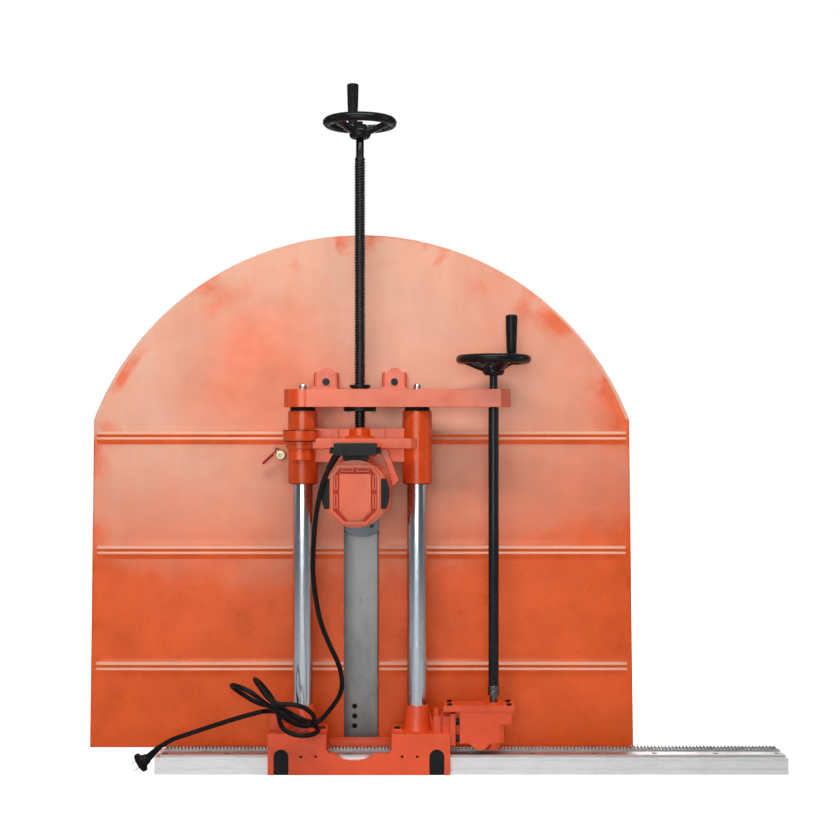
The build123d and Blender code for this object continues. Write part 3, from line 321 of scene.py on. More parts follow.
# ---------------------------------------------------------------- mesh helpers
def add_object(name, bm, material, body=None, replaces=(), smooth=45.0, weighted=False):
    """A new piece from a bmesh: faces smooth up to an angle, riding on its body."""
    bmesh.ops.recalc_face_normals(bm, faces=bm.faces)
    limit = radians(smooth)
    for edge in bm.edges:
        edge.smooth = len(edge.link_faces) == 2 and edge.calc_face_angle(0) < limit
    for face in bm.faces:
        face.smooth = True
    data = bpy.data.meshes.new(name)
    bm.to_mesh(data)
    bm.free()
    made = bpy.data.objects.new(name, data)
    bpy.context.scene.collection.objects.link(made)
    data.materials.append(material)
    if weighted:
        made.modifiers.new("normals", "WEIGHTED_NORMAL").keep_sharp = True
    if body:
        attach(made, body)
    if replaces:
        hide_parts(*replaces)
    return made


def bevel_sharp(bm, width, segments=2, angle=28.0):
    """Rounds every edge sharper than angle, and marks the new faces for the materials' edge wear."""
    layer = bm.faces.layers.float.get("wear") or bm.faces.layers.float.new("wear")
    edges = [e for e in bm.edges if len(e.link_faces) == 2 and e.calc_face_angle(0) > radians(angle)]
    made = bmesh.ops.bevel(bm, geom=edges, offset=width, offset_type="OFFSET", segments=segments,
                           profile=0.5, affect="EDGES", clamp_overlap=True, loop_slide=True)
    for face in made["faces"]:
        face[layer] = 1.0
    return bm


def node_mesh(*nodes):
    """The CAD nodes' meshes in one bmesh, welded, with flat areas as single faces."""
    bm = bmesh.new()
    for node in nodes:
        bm.from_mesh(frame["nodes"][node].data)
    bmesh.ops.remove_doubles(bm, verts=bm.verts, dist=0.00001)
    bmesh.ops.dissolve_limit(bm, angle_limit=radians(0.5), verts=bm.verts, edges=bm.edges)
    return bm


def soften(node, width):
    """A copy of a CAD node with its edges rounded stands for it."""
    bm = bevel_sharp(node_mesh(node), width)
    add_object(f"{node}_soft", bm, MATERIAL[SLOT[node]], BODY[node], [node], weighted=True)


def skin(bm, rings):
    """Faces between rings of as many points, with both ends closed."""
    for low, high in zip(rings, rings[1:]):
        for n in range(len(low)):
            m = (n + 1) % len(low)
            bm.faces.new((low[n], low[m], high[m], high[n]))
    bm.faces.new(rings[0][::-1])
    bm.faces.new(rings[-1])
    return bm


def lathe(bm, profile, place, steps=48, close=True):
    """Turns a profile of (radius, height) points about the Z axis of the matrix place."""
    rings = []
    for radius, height in profile:
        if radius < 1e-6:
            rings.append([bm.verts.new(place @ Vector((0, 0, height)))])
            continue
        turns = [2 * pi * k / steps for k in range(steps)]
        circle = [Vector((radius * cos(t), radius * sin(t), height)) for t in turns]
        rings.append([bm.verts.new(place @ point) for point in circle])
    for low, high in zip(rings, rings[1:]):
        for k in range(steps):
            n = k + 1
            corners = [low[k % len(low)], low[n % len(low)], high[n % len(high)], high[k % len(high)]]
            unique = list(dict.fromkeys(corners))
            if len(unique) > 2:
                bm.faces.new(unique)
    if close:
        for ring in (rings[0], rings[-1]):
            if len(ring) > 2:
                bm.faces.new(ring)
    return bm


def rounded(profile, radius, steps=4):
    """The profile with each inner corner replaced by a small arc."""
    out = [profile[0]]
    for a, b, c in zip(profile, profile[1:], profile[2:]):
        a, b, c = Vector(a), Vector(b), Vector(c)
        reach = min(radius, (a - b).length * 0.45, (c - b).length * 0.45)
        start, end = b + (a - b).normalized() * reach, b + (c - b).normalized() * reach
        for k in range(steps + 1):
            t = k / steps
            out.append(tuple(start * (1 - t) ** 2 + b * 2 * t * (1 - t) + end * t**2))
    return out + [profile[-1]]


def at(x, y, z, axis=(0, 0, 1), turn=0.0):
    """The matrix whose Z axis points along axis, at a point."""
    tilt = Vector(axis).to_track_quat("Z", "Y").to_matrix().to_4x4()
    return Matrix.Translation((x, y, z)) @ tilt @ Matrix.Rotation(turn, 4, "Z")


def block(bm, x0, x1, y0, y1, z0, z1, place=Matrix.Identity(4)):
    """A box's six faces."""
    corners = [(x, y, z) for z in (z0, z1) for y in (y0, y1) for x in (x0, x1)]
    v = [bm.verts.new(place @ Vector(c)) for c in corners]
    for a, b, c, d in ((0, 2, 3, 1), (4, 5, 7, 6), (0, 1, 5, 4), (2, 6, 7, 3), (0, 4, 6, 2), (1, 3, 7, 5)):
        bm.faces.new((v[a], v[b], v[c], v[d]))
    return bm


def prism(bm, outline, y0, y1):
    """A polygon of (x, z) points, from y0 to y1."""
    front = [bm.verts.new((x, y0, z)) for x, z in outline]
    back = [bm.verts.new((x, y1, z)) for x, z in outline]
    count = len(outline)
    bm.faces.new(front)
    bm.faces.new(back[::-1])
    for k in range(count):
        n = (k + 1) % count
        bm.faces.new((front[k], back[k], back[n], front[n]))
    return bm


def tube_mesh(bm, path, radius, steps=12, ripple=None):
    """A round tube along close points, with no twist. ripple(share) scales the radius along it."""
    path = [Vector(p) for p in path]
    side = None
    rings = []
    for k, p in enumerate(path):
        ahead = (path[min(k + 1, len(path) - 1)] - path[max(k - 1, 0)]).normalized()
        side = ahead.orthogonal() if side is None else side - ahead * side.dot(ahead)
        side = side.normalized()
        other = ahead.cross(side)
        r = radius * (ripple(k / (len(path) - 1)) if ripple else 1)
        turns = [2 * pi * n / steps for n in range(steps)]
        rings.append([bm.verts.new(p + side * r * cos(t) + other * r * sin(t)) for t in turns])
    return skin(bm, rings)


def cast_smooth(made, voxel, turns):
    """Fuses an object's overlapping forms and smooths where they meet, as a casting."""
    remesh = made.modifiers.new("fuse", "REMESH")
    remesh.mode = "VOXEL"
    remesh.voxel_size = voxel
    smooth = made.modifiers.new("smooth", "SMOOTH")
    smooth.iterations = turns
    smooth.factor = 0.5
    graph = bpy.context.evaluated_depsgraph_get()
    data = bpy.data.meshes.new_from_object(made.evaluated_get(graph))
    made.modifiers.clear()
    old = made.data
    made.data = data
    bpy.data.meshes.remove(old)
    for polygon in data.polygons:
        polygon.use_smooth = True


# ---------------------------------------------------------------- camera, floor, light
camera = bpy.data.objects.new("camera", bpy.data.cameras.new("camera"))
bpy.context.scene.collection.objects.link(camera)
camera.location = (0.1344, -3.36, 0.761)
camera.rotation_euler = (radians(90), 0, 0)
camera.data.lens = 64.29
camera.data.sensor_width = 36
camera.data.shift_y = 0.0119
bpy.context.scene.camera = camera

ground = Finish("floor_mat")
ground.set(Base_Color=(0.62, 0.62, 0.62), Roughness=0.75, Specular_IOR_Level=0.1)
seen = ground.node("ShaderNodeLightPath").outputs["Is Camera Ray"]
ground.set(Emission_Color=(1, 1, 1), Emission_Strength=ground.sum("MULTIPLY", seen, 0.97))
ground.height((ground.noise(60, 3), 0.00002))
bm = bmesh.new()
bmesh.ops.create_grid(bm, x_segments=8, y_segments=8, size=60)
floor = add_object("floor", bm, ground.mat)
floor.location.z = -0.0004


def area_light(name, place, target, width, height, radiance):
    """A rectangular softbox, aimed at target."""
    data = bpy.data.lights.new(name, "AREA")
    data.shape = "RECTANGLE"
    data.size, data.size_y = width, height
    data.energy = radiance * pi * width * height
    made = bpy.data.objects.new(name, data)
    bpy.context.scene.collection.objects.link(made)
    made.location = place
    made.rotation_euler = (Vector(target) - Vector(place)).to_track_quat("-Z", "Y").to_euler()


area_light("softbox_front", (-0.45, -4.0, 1.08), (-0.45, 0.0, 1.08), 2.7, 1.5, 4.9)
area_light("softbox_top", (0.1, -1.5, 3.2), (0.1, 0.0, 0.6), 3.0, 0.45, 19.0)
area_light("softbox_left", (-4.0, -0.3, 1.6), (0, 0, 0.7), 1.6, 2.4, 0.5)
area_light("softbox_right", (4.2, -0.3, 1.6), (0, 0, 0.7), 1.6, 2.4, 1.4)
area_light("softbox_back", (0.3, 4.2, 2.2), (0, 0, 0.7), 3.4, 2.0, 4.0)

world = bpy.data.worlds.new("studio")
bpy.context.scene.world = world
world.use_nodes = True
sky = world.node_tree
glow = sky.nodes["Background"]
glow.inputs["Color"].default_value = (0.95, 0.97, 1.0, 1)
glow.inputs["Strength"].default_value = 0.13
white = sky.nodes.new("ShaderNodeBackground")
white.inputs["Color"].default_value = (1, 1, 1, 1)
rays = sky.nodes.new("ShaderNodeLightPath")
pick = sky.nodes.new("ShaderNodeMixShader")
sky.links.new(rays.outputs["Is Camera Ray"], pick.inputs[0])
sky.links.new(glow.outputs[0], pick.inputs[1])
sky.links.new(white.outputs[0], pick.inputs[2])
sky.links.new(pick.outputs[0], sky.nodes["World Output"].inputs["Surface"])
bpy.context.scene.view_settings.view_transform = "Standard"

# ---------------------------------------------------------------- cords
CORD_D = 0.0105
# Control points in millimetres. The first eleven and the last were placed one by one. A fitting program
# moved the 42 between, to widen their bends, so those aren't values that anyone chose.
MAINS = [
    (-45.1, -263, 696.7), (-58.1, -263, 674.2), (-69, -262, 644), (-78, -256, 604), (-85, -244, 556),
    (-89, -226, 508), (-91, -208, 458), (-86, -192, 406), (-77, -178, 352), (-58, -156, 300),
    (-38, -134, 254), (-33, -104, 208), (-42, -87, 178), (-60, -78, 152), (-82, -72, 125),
    # up the heap, round the long left loop and back
    (-109, -81, 112), (-140, -91, 119), (-169, -101, 143), (-200, -116, 169), (-229, -128, 196),
    (-259, -117, 207), (-277, -91, 206), (-277, -62, 194), (-259, -44, 178), (-235, -43, 162),
    (-209, -59, 155),
    # the right loop, its lower strand behind and its upper strand in front
    (-173, -57, 152), (-146, -46, 131), (-119, -54, 120), (-101, -75, 121), (-94, -98, 133),
    (-101, -116, 151), (-120, -125, 165), (-146, -125, 170), (-172, -122, 168),
    # the narrow loop, seen nearly edge-on
    (-194, -120, 181), (-209, -114, 201), (-223, -93, 214), (-229, -64, 215), (-221, -38, 202),
    (-204, -27, 180), (-186, -35, 154),
    # the bottom lobe over the block's edge, and back behind to the tail
    (-175, -67, 132), (-168, -107, 118), (-147, -124, 106), (-120, -126, 101), (-98, -113, 101),
    (-86, -89, 105), (-92, -61, 109), (-113, -41, 111), (-141, -38, 121), (-174, -31, 136),
    (-200, -37, 139), (-213.8, -51, 140),
]
TAIL = [
    (-213.8, -51, 140), (-250, -50, 131), (-297, -47, 116), (-345, -44, 100), (-388, -41, 85),
    (-420, -38, 74), (-443, -36, 58),
]


def cord_line(points):
    """The smooth line of a route: points read from its NURBS spline."""
    data = bpy.data.curves.new("route", "CURVE")
    data.dimensions = "3D"
    data.resolution_u = 10
    spline = data.splines.new("NURBS")
    spline.points.add(len(points) - 1)
    for point, place in zip(spline.points, points):
        point.co = (*[c / 1000 for c in place], 1)
    spline.order_u = 3
    spline.use_endpoint_u = True
    holder = bpy.data.objects.new("route", data)
    bpy.context.scene.collection.objects.link(holder)
    bpy.context.view_layer.update()
    mesh = bpy.data.meshes.new_from_object(holder.evaluated_get(bpy.context.evaluated_depsgraph_get()))
    line = [v.co.copy() for v in mesh.vertices]
    bpy.data.objects.remove(holder)
    bpy.data.curves.remove(data)
    bpy.data.meshes.remove(mesh)
    return line


mains_line = cord_line(MAINS)
tail_line = cord_line(TAIL)
mains = add_object("mains_cord", tube_mesh(bmesh.new(), mains_line, CORD_D / 2, 14), MATERIAL["cord_rubber"])
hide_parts("cord_drop", "cord_bundle")
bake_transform(mains)
tail = add_object("tail_cord", tube_mesh(bmesh.new(), tail_line, CORD_D / 2, 14), MATERIAL["cord_rubber"])
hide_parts("cord_tail")
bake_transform(tail)

# plug: ribbed relief, waisted body, round face with a rim, and two flat pins
PLUG_CENTRE, PLUG_AXIS = Vector((-0.486, -0.034, 0.023)), Vector((-0.85, 0, -0.527)).normalized()
relief_end = tail_line[-1]
plug_rear = PLUG_CENTRE - PLUG_AXIS * 0.020
relief_axis = (relief_end - plug_rear).normalized()
relief_length = (relief_end - plug_rear).length
profile = []
for k in range(9):
    share = k / 8
    wide = 0.0088 + (0.0064 - 0.0088) * share
    z = relief_length * share
    profile += [(wide, z), (wide, z + relief_length * 0.062), (wide - 0.0014, z + relief_length * 0.066)]
    profile.append((wide - 0.0014, z + relief_length * 0.118))
profile = [p for p in profile if p[1] <= relief_length]
profile = [(0, -0.004), (0.0088, -0.004)] + profile + [(0, relief_length)]
bm = lathe(bmesh.new(), profile, at(*plug_rear, relief_axis), 28)
body = [(0, -0.021), (0.0098, -0.021), (0.0112, -0.019), (0.0122, -0.014), (0.0150, -0.008),
        (0.0168, -0.0066), (0.0206, -0.006), (0.0215, -0.0052), (0.0215, 0.0012), (0.0205, 0.0026),
        (0.0182, 0.003), (0.0176, 0.0018), (0, 0.0018)]
lathe(bm, body, at(*PLUG_CENTRE, PLUG_AXIS), 44)
plug = add_object("plug_body", bm, MATERIAL["cord_rubber"], "rail", ["plug"])
bm = bmesh.new()
for side in (-1, 1):
    spread = Vector((0, 1, 0))
    up = PLUG_AXIS.cross(spread).normalized()
    base_at = PLUG_CENTRE + PLUG_AXIS * 0.0018 + up * side * 0.008
    frame_pin = Matrix([[*spread, 0], [*up, 0], [*PLUG_AXIS, 0], [0, 0, 0, 1]]).transposed()
    frame_pin = Matrix.Translation(base_at) @ frame_pin
    block(bm, -0.00315, 0.00315, -0.0008, 0.0008, 0, 0.0178, frame_pin)
bevel_sharp(bm, 0.00055, 2)
pins = add_object("plug_pins", bm, PIN_BRASS, "rail", weighted=True)

# tapered, ribbed relief where the cord leaves the switch box
gland_axis = (mains_line[1] - mains_line[0]).normalized()
profile = [(0, -0.019), (0.0086, -0.019), (0.0086, -0.016)]
for k in range(6):
    z, wide = -0.015 + 0.0058 * k, 0.0082 - 0.00028 * k
    profile += [(wide, z), (wide, z + 0.0034), (wide - 0.0012, z + 0.0037), (wide - 0.0012, z + 0.0055)]
profile += [(0.0056, 0.0200), (0, 0.0200)]
add_object("cord_gland_ribbed", lathe(bmesh.new(), profile, at(*mains_line[0], gland_axis), 28),
           MATERIAL["cord_rubber"], "carriage", ["cord_gland"])

# ---------------------------------------------------------------- CAD nodes with rounded edges
SOFT = {
    "rail_extrusion": 0.0007, "guide_strip": 0.0006, "rack": 0.00035, "rail_screws": 0.0005,
    "arch_inserts": 0.0009, "base_bolts": 0.0006, "adjusting_screws": 0.0005, "slide_pads": 0.0003,
    "base_casting": 0.0028, "top_plate": 0.0030, "feed_nut": 0.0008, "feed_nut_screws": 0.0006,
    "guard_lug_left": 0.0012, "guard_lug_right": 0.0012, "lug_bolts": 0.0010, "guard_rim": 0.0008,
    "wear_strip": 0.0005, "strip_rivets": 0.0006, "gearbox_housing": 0.0024, "gearbox_cover": 0.0024,
    "gearbox_screws": 0.0006, "carriage_casting": 0.0024, "front_plate": 0.0018, "gearcase": 0.0026,
    "motor_end_cap": 0.0070, "motor_vents": 0.0008, "switch_box": 0.0022, "switch_screws": 0.0008,
    "feed_hub_nut": 0.0008, "blade_flange": 0.0012, "bumpers": 0.0012, "guard_back_sheet": 0.0006,
    "motor_housing": 0.0008, "column_caps": 0.0003,
}
for node, width in SOFT.items():
    soften(node, width)

for node, thing in frame["nodes"].items():
    thing.data.materials.clear()
    thing.data.materials.append(MATERIAL[SLOT[node]])

# ---------------------------------------------------------------- feed screw
SCREW_R, SCREW_ROOT, SCREW_PITCH = 0.0125, 0.0100, 0.006
SCREW_Z0, SCREW_Z1 = 0.767, 1.369
bm = bmesh.new()
TURN_STEPS = 24
section = [(0.0, 0.0), (0.16, 0.9), (0.24, 1.0), (0.42, 1.0), (0.50, 0.9), (0.66, 0.0), (0.98, 0.0)]
count = int((SCREW_Z1 - SCREW_Z0) / SCREW_PITCH * TURN_STEPS)
rows = []
for k in range(count + 1):
    turn = 2 * pi * k / TURN_STEPS
    z = SCREW_Z0 + SCREW_PITCH * k / TURN_STEPS
    fade = min(1.0, k / 30, (count - k) / 30)
    row = []
    for share, tall in section:
        r = SCREW_ROOT + (SCREW_R - SCREW_ROOT) * tall * fade
        row.append(bm.verts.new((r * cos(turn), r * sin(turn), z + (share - 0.5) * SCREW_PITCH)))
    rows.append(row)
for k in range(count):
    for a in range(len(section) - 1):
        bm.faces.new((rows[k][a], rows[k + 1][a], rows[k + 1][a + 1], rows[k][a + 1]))
    if k + TURN_STEPS < count:
        bm.faces.new((rows[k][-1], rows[k + 1][-1], rows[k + 1 + TURN_STEPS][0], rows[k + TURN_STEPS][0]))
ends = [(0, 0.741), (0.0076, 0.741), (0.0080, 0.7415), (0.0080, 0.7665), (0.0099, 0.768),
        (0.00995, 0.774), (0.00995, 1.362), (0.0118, 1.3665), (0.0118, 1.3675), (0.0090, 1.3725),
        (0.0090, 1.444), (0.0082, 1.445), (0, 1.445)]
lathe(bm, ends, Matrix.Identity(4), 32)
add_object("feed_screw_thread", bm, MATERIAL["black_steel"], "feed_drive", ["feed_screw"], 40)


# ---------------------------------------------------------------- handwheels and grips
def make_wheel(name, x, y, hub_z, grip_turn, body, node):
    """Cast wheel: round rim, three broad dished spokes and a tapered hub, fused with fillets."""
    ring_z, ring_r, rim_r = hub_z + 0.036, 0.0740, 0.0102
    bm = bmesh.new()
    path_steps, rim_steps = 96, 16
    rings = []
    for k in range(path_steps):
        t = 2 * pi * k / path_steps
        row = []
        for n in range(rim_steps):
            a = 2 * pi * n / rim_steps
            r = ring_r + rim_r * cos(a)
            row.append(bm.verts.new((x + r * cos(t), y + r * sin(t), ring_z + rim_r * sin(a))))
        rings.append(row)
    for k in range(path_steps):
        low, high = rings[k], rings[(k + 1) % path_steps]
        for n in range(rim_steps):
            bm.faces.new((low[n], high[n], high[(n + 1) % rim_steps], low[(n + 1) % rim_steps]))
    hub = rounded([(0, 0), (0.0195, 0), (0.0242, 0.0055), (0.0242, 0.0175), (0.0168, 0.0295),
                   (0.0150, 0.0318), (0, 0.0318)], 0.003)
    lathe(bm, hub, at(x, y, hub_z), 48)
    for spoke in range(3):
        a = grip_turn + radians(120 * spoke)
        out = Vector((cos(a), sin(a), 0))
        side = Vector((-sin(a), cos(a), 0))
        loops = []
        for k in range(15):
            t = k / 14
            centre = Vector((x, y, 0)) + out * (0.008 + (ring_r - 0.008) * t)
            centre.z = hub_z + 0.0135 + (ring_z - hub_z - 0.0135) * (t**1.25)
            wide = 0.0150 - 0.0030 * sin(pi * min(t * 1.1, 1.0)) + 0.0040 * max(t - 0.70, 0) / 0.30
            thick = 0.0088 - 0.0022 * t
            turns = [2 * pi * n / 16 for n in range(16)]
            oval = [side * wide * cos(q) + Vector((0, 0, thick * sin(q))) for q in turns]
            loops.append([bm.verts.new(centre + point) for point in oval])
        skin(bm, loops)
    foot = Vector((x + ring_r * cos(grip_turn), y + ring_r * sin(grip_turn), ring_z))
    lathe(bm, rounded([(0, -0.004), (0.0096, -0.004), (0.0100, 0.0088), (0, 0.0088)], 0.002), at(*foot), 24)
    wheel = add_object(name, bm, MATERIAL["handwheel_black"], smooth=180)
    cast_smooth(wheel, 0.0013, 4)
    wheel.data.materials.clear()
    wheel.data.materials.append(MATERIAL["handwheel_black"])
    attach(wheel, body)
    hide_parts(node)
    return foot


def make_grip(name, foot, body, node):
    """Tapered grip with rounded shoulders, a neck ring and its pin's washer."""
    profile = [(0.0042, 0.0), (0.0096, 0.0), (0.0108, 0.0012), (0.0108, 0.0038), (0.0102, 0.0046),
               (0.0102, 0.0058), (0.0109, 0.0068), (0.0115, 0.020), (0.0124, 0.045), (0.0132, 0.070),
               (0.0136, 0.0895)]
    for k in range(1, 7):
        t = pi / 2 * k / 6
        profile.append((0.0136 - 0.0042 * (1 - cos(t)), 0.0895 + 0.0040 * sin(t)))
    profile += [(0.0060, 0.0944), (0.0, 0.0947)]
    bm = lathe(bmesh.new(), profile, at(foot.x, foot.y, foot.z + 0.0100), 40)
    add_object(name, bm, MATERIAL["grip_plastic"], body, [node], 50)
    washer = rounded([(0.0, 0), (0.0090, 0), (0.0090, 0.0012), (0.0, 0.0012)], 0.0003)
    bm = lathe(bmesh.new(), washer, at(foot.x, foot.y, foot.z + 0.0088), 28)
    add_object(f"{name}_washer", bm, ZINC, BODY[node.replace("grip", "handwheel")])


WORM_X, WORM_Y = 0.298, -0.024
foot = make_wheel("feed_wheel", 0, 0, 1.413, radians(105), "feed_drive", "feed_handwheel")
make_grip("feed_handle", foot, "feed_handle", "feed_grip")
foot = make_wheel("travel_wheel", WORM_X, WORM_Y, 0.882, radians(54), "travel_drive", "travel_handwheel")
make_grip("travel_handle", foot, "travel_handle", "travel_grip")

# ---------------------------------------------------------------- travel shaft
tube = rounded([(0, 0.1935), (0.0108, 0.1935), (0.0115, 0.1945), (0.0115, 0.8100), (0.0090, 0.8112),
                (0.0090, 0.9130), (0.0080, 0.9140), (0, 0.9140)], 0.0006)
add_object("travel_tube", lathe(bmesh.new(), tube, at(WORM_X, WORM_Y, 0), 48), TUBE_BLACK, "travel_drive",
           ["travel_shaft"], 40)
lower = rounded([(0, 0.053), (0.0078, 0.053), (0.0085, 0.054), (0.0085, 0.1715), (0.0128, 0.1718),
                 (0.0130, 0.1725), (0.0130, 0.1815), (0.0122, 0.1820), (0.0122, 0.1840),
                 (0.0130, 0.1845), (0.0130, 0.1932), (0.0122, 0.1940), (0, 0.1940)], 0.0005)
bm = lathe(bmesh.new(), lower, at(WORM_X, WORM_Y, 0), 40)
for z in (0.177, 0.189):
    lathe(bm, [(0, 0), (0.0030, 0), (0.0030, 0.0012), (0.0014, 0.0012), (0.0014, 0.0004), (0, 0.0004)],
          at(WORM_X - 0.004, WORM_Y - 0.0122, z, (-0.3, -1, 0)), 14)
add_object("travel_coupling", bm, OXIDE, "travel_drive", smooth=40)

# ---------------------------------------------------------------- guard's front sheet
STRIP_HOLE_X = -0.019
GUARD_Y0, SHEET = 0.093, 0.0025
low_half, corner_half, corner_z, top_z, bottom_z = 0.625, 0.6155, 0.785, 1.209, 0.031
arc_r = (corner_half**2 + (top_z - corner_z) ** 2) / (2 * (top_z - corner_z))
SLOT_HALF, SLOT_Z0, SLOT_Z1 = 0.041, 0.052, 0.690
RIB_Z, RIB_END = (0.744, 0.481, 0.214), 0.609
RIB_TEETH = ((0.013, 0.007, 0.0), (0.0, -0.005, -0.016))


def guard_half(z):
    """Half the guard's width at a height."""
    if z <= corner_z:
        share = (z - bottom_z) / (corner_z - bottom_z)
        return low_half + (corner_half - low_half) * share
    rise = z - (top_z - arc_r)
    return sqrt(max(arc_r**2 - rise**2, 0))


def guard_depth(x, z):
    """How far the sheet's face stands back (+) or proud (-) of its plane."""
    depth = 0.0
    gap = max(abs(x) - (RIB_END - 0.010), 0) / 0.010
    inner = max(SLOT_HALF + 0.010 + 0.008 - abs(x), 0) / 0.008 if z < SLOT_Z1 else 0
    fade = max(0.0, 1 - max(gap, inner) ** 2)
    for rib_z in RIB_Z:
        for head, crest, foot in RIB_TEETH:
            up = (rib_z + head - z) / (head - crest)
            down = (z - rib_z - foot) / (crest - foot)
            depth -= 0.0024 * max(min(up, down), 0) * fade
    rim = guard_half(z) - abs(x)
    if rim < 0.004:
        depth += 0.0016 * (1 - max(rim, 0) / 0.004) ** 2
    wave = 0.0011 * sin(5.1 * x + 0.8) * sin(6.3 * z + 0.3) + 0.0007 * sin(11.7 * x + 3.9 * z + 1.9)
    edge = min(1.0, rim / 0.08, max(abs(x) - SLOT_HALF, 0) / 0.06 if z < SLOT_Z1 else 1.0)
    return depth + wave * max(edge, 0) * 0.8


heights = set(np.round(np.arange(bottom_z, top_z, 0.013), 6))
for rib_z in RIB_Z:
    heights = {z for z in heights if abs(z - rib_z) > 0.020}
    for head, crest, foot in RIB_TEETH:
        for low, high, steps in ((foot, crest, 6), (crest, head, 4)):
            heights |= {round(rib_z + low + (high - low) * k / steps, 6) for k in range(steps + 1)}
heights = {z for z in heights if min(abs(z - SLOT_Z0), abs(z - SLOT_Z1)) > 0.003}
heights |= {bottom_z, bottom_z + 0.002, SLOT_Z0, SLOT_Z1, corner_z}
heights |= {top_z - 0.0002 - 0.0135 * k * k / 36 for k in range(7)}
heights = sorted(heights)
outer = [k / 44 for k in range(45)]
bm = bmesh.new()
grid = []
for z in heights:
    half = guard_half(z)
    inner_edge = min(SLOT_HALF, half * 0.4)
    right = [inner_edge + (max(half - 0.012, inner_edge) - inner_edge) * s for s in outer]
    reach = right[-1]
    right += [reach + (half - reach) * s for s in (0.35, 0.67, 0.82, 0.91, 1.0)]
    middle = [inner_edge * s for s in (-0.6, -0.2, 0.2, 0.6)]
    xs = [-x for x in right[::-1]] + middle + right
    grid.append([bm.verts.new((x, GUARD_Y0 + guard_depth(x, z), z)) for x in xs])
left_cols = len(right)
for (z0, low), (z1, high) in zip(zip(heights, grid), zip(heights[1:], grid[1:])):
    for k in range(len(low) - 1):
        in_slot = left_cols - 1 <= k < left_cols + 4
        if in_slot and SLOT_Z0 - 1e-6 <= z0 and z1 <= SLOT_Z1 + 1e-6:
            continue
        bm.faces.new((low[k], low[k + 1], high[k + 1], high[k]))
# Rib flanks facing down get +1, painted shade; flanks facing up and a band inside the arc's edge get -1,
# painted highlight.
painted_shade = bm.faces.layers.float.new("painted_shade")
for face in bm.faces:
    middle = face.calc_center_median()
    for rib_z in RIB_Z:
        for head, crest, foot in RIB_TEETH:
            if abs(middle.x) < RIB_END and foot < middle.z - rib_z < crest:
                face[painted_shade] = 1.0
            elif abs(middle.x) < RIB_END and crest < middle.z - rib_z < head:
                face[painted_shade] = -1.0
    if 0.0015 < guard_half(middle.z) - abs(middle.x) < 0.006 and middle.z > corner_z:
        face[painted_shade] = -1.0
bm.normal_update()
bmesh.ops.solidify(bm, geom=list(bm.faces), thickness=-SHEET)
for v in bm.verts:
    v.co.z = min(max(v.co.z, bottom_z), top_z)
    limit = guard_half(v.co.z)
    v.co.x = min(max(v.co.x, -limit), limit)
add_object("guard_front_pressed", bm, MATERIAL["guard_paint"], "base",
           ["guard_front_sheet"], 50)

# folded lips beside the slot, and a fine hem along the outline
bm = bmesh.new()
for side in (-1, 1):
    x0, x1 = sorted((side * SLOT_HALF, side * (SLOT_HALF + 0.0022)))
    block(bm, x0, x1, GUARD_Y0 + 0.0015, GUARD_Y0 + 0.0075, SLOT_Z0, SLOT_Z1)
bevel_sharp(bm, 0.0007)
add_object("guard_slot_lips", bm, MATERIAL["guard_paint"], "base", weighted=True)
hem = []
for k in range(19):
    z = bottom_z + (corner_z - bottom_z) * k / 18
    hem.append((guard_half(z), z))
for k in range(1, 24):
    turn = k / 24
    angle = (1 - turn) * np.arcsin(corner_half / arc_r)
    hem.append((arc_r * sin(angle), top_z - arc_r + arc_r * cos(angle)))
hem.append((0, top_z))
outline = hem + [(-x, z) for x, z in hem[-2::-1]]
line = [Vector((x * 0.9978, GUARD_Y0 + 0.0012, bottom_z + (z - bottom_z) * 0.9982)) for x, z in outline]
bm = tube_mesh(bmesh.new(), line, 0.0015, 8)
# The hem is marked as painted shade, darker than the pale sheen beside it.
painted_shade = bm.faces.layers.float.new("painted_shade")
for face in bm.faces:
    face[painted_shade] = 1.0
add_object("guard_hem", bm, MATERIAL["guard_paint"], "base")

# ---------------------------------------------------------------- motor face
MOTOR_Z = 0.628
FACE_Y = -0.2475
BARREL_R = 0.0700


def inset(outline, share):
    """The outline drawn in towards the motor's axis."""
    return [(x * share, MOTOR_Z + (z - MOTOR_Z) * share) for x, z in outline]


def raised_frame(bm, outer, inner, y0, y1):
    """A raised border between two outlines of as many points."""
    count = len(outer)
    rows = [[bm.verts.new((x, y, z)) for x, z in line] for line, y in
            ((outer, y1), (outer, y0), (inner, y0), (inner, y1))]
    for low, high in zip(rows, rows[1:] + rows[:1]):
        for k in range(count):
            bm.faces.new((low[k], low[(k + 1) % count], high[(k + 1) % count], high[k]))
    return bm


octagon = [(-0.0505, 0.668), (-0.034, 0.6895), (0.034, 0.6895), (0.0505, 0.668), (0.0505, 0.592),
           (0.025, 0.5655), (-0.025, 0.5655), (-0.0505, 0.592)]
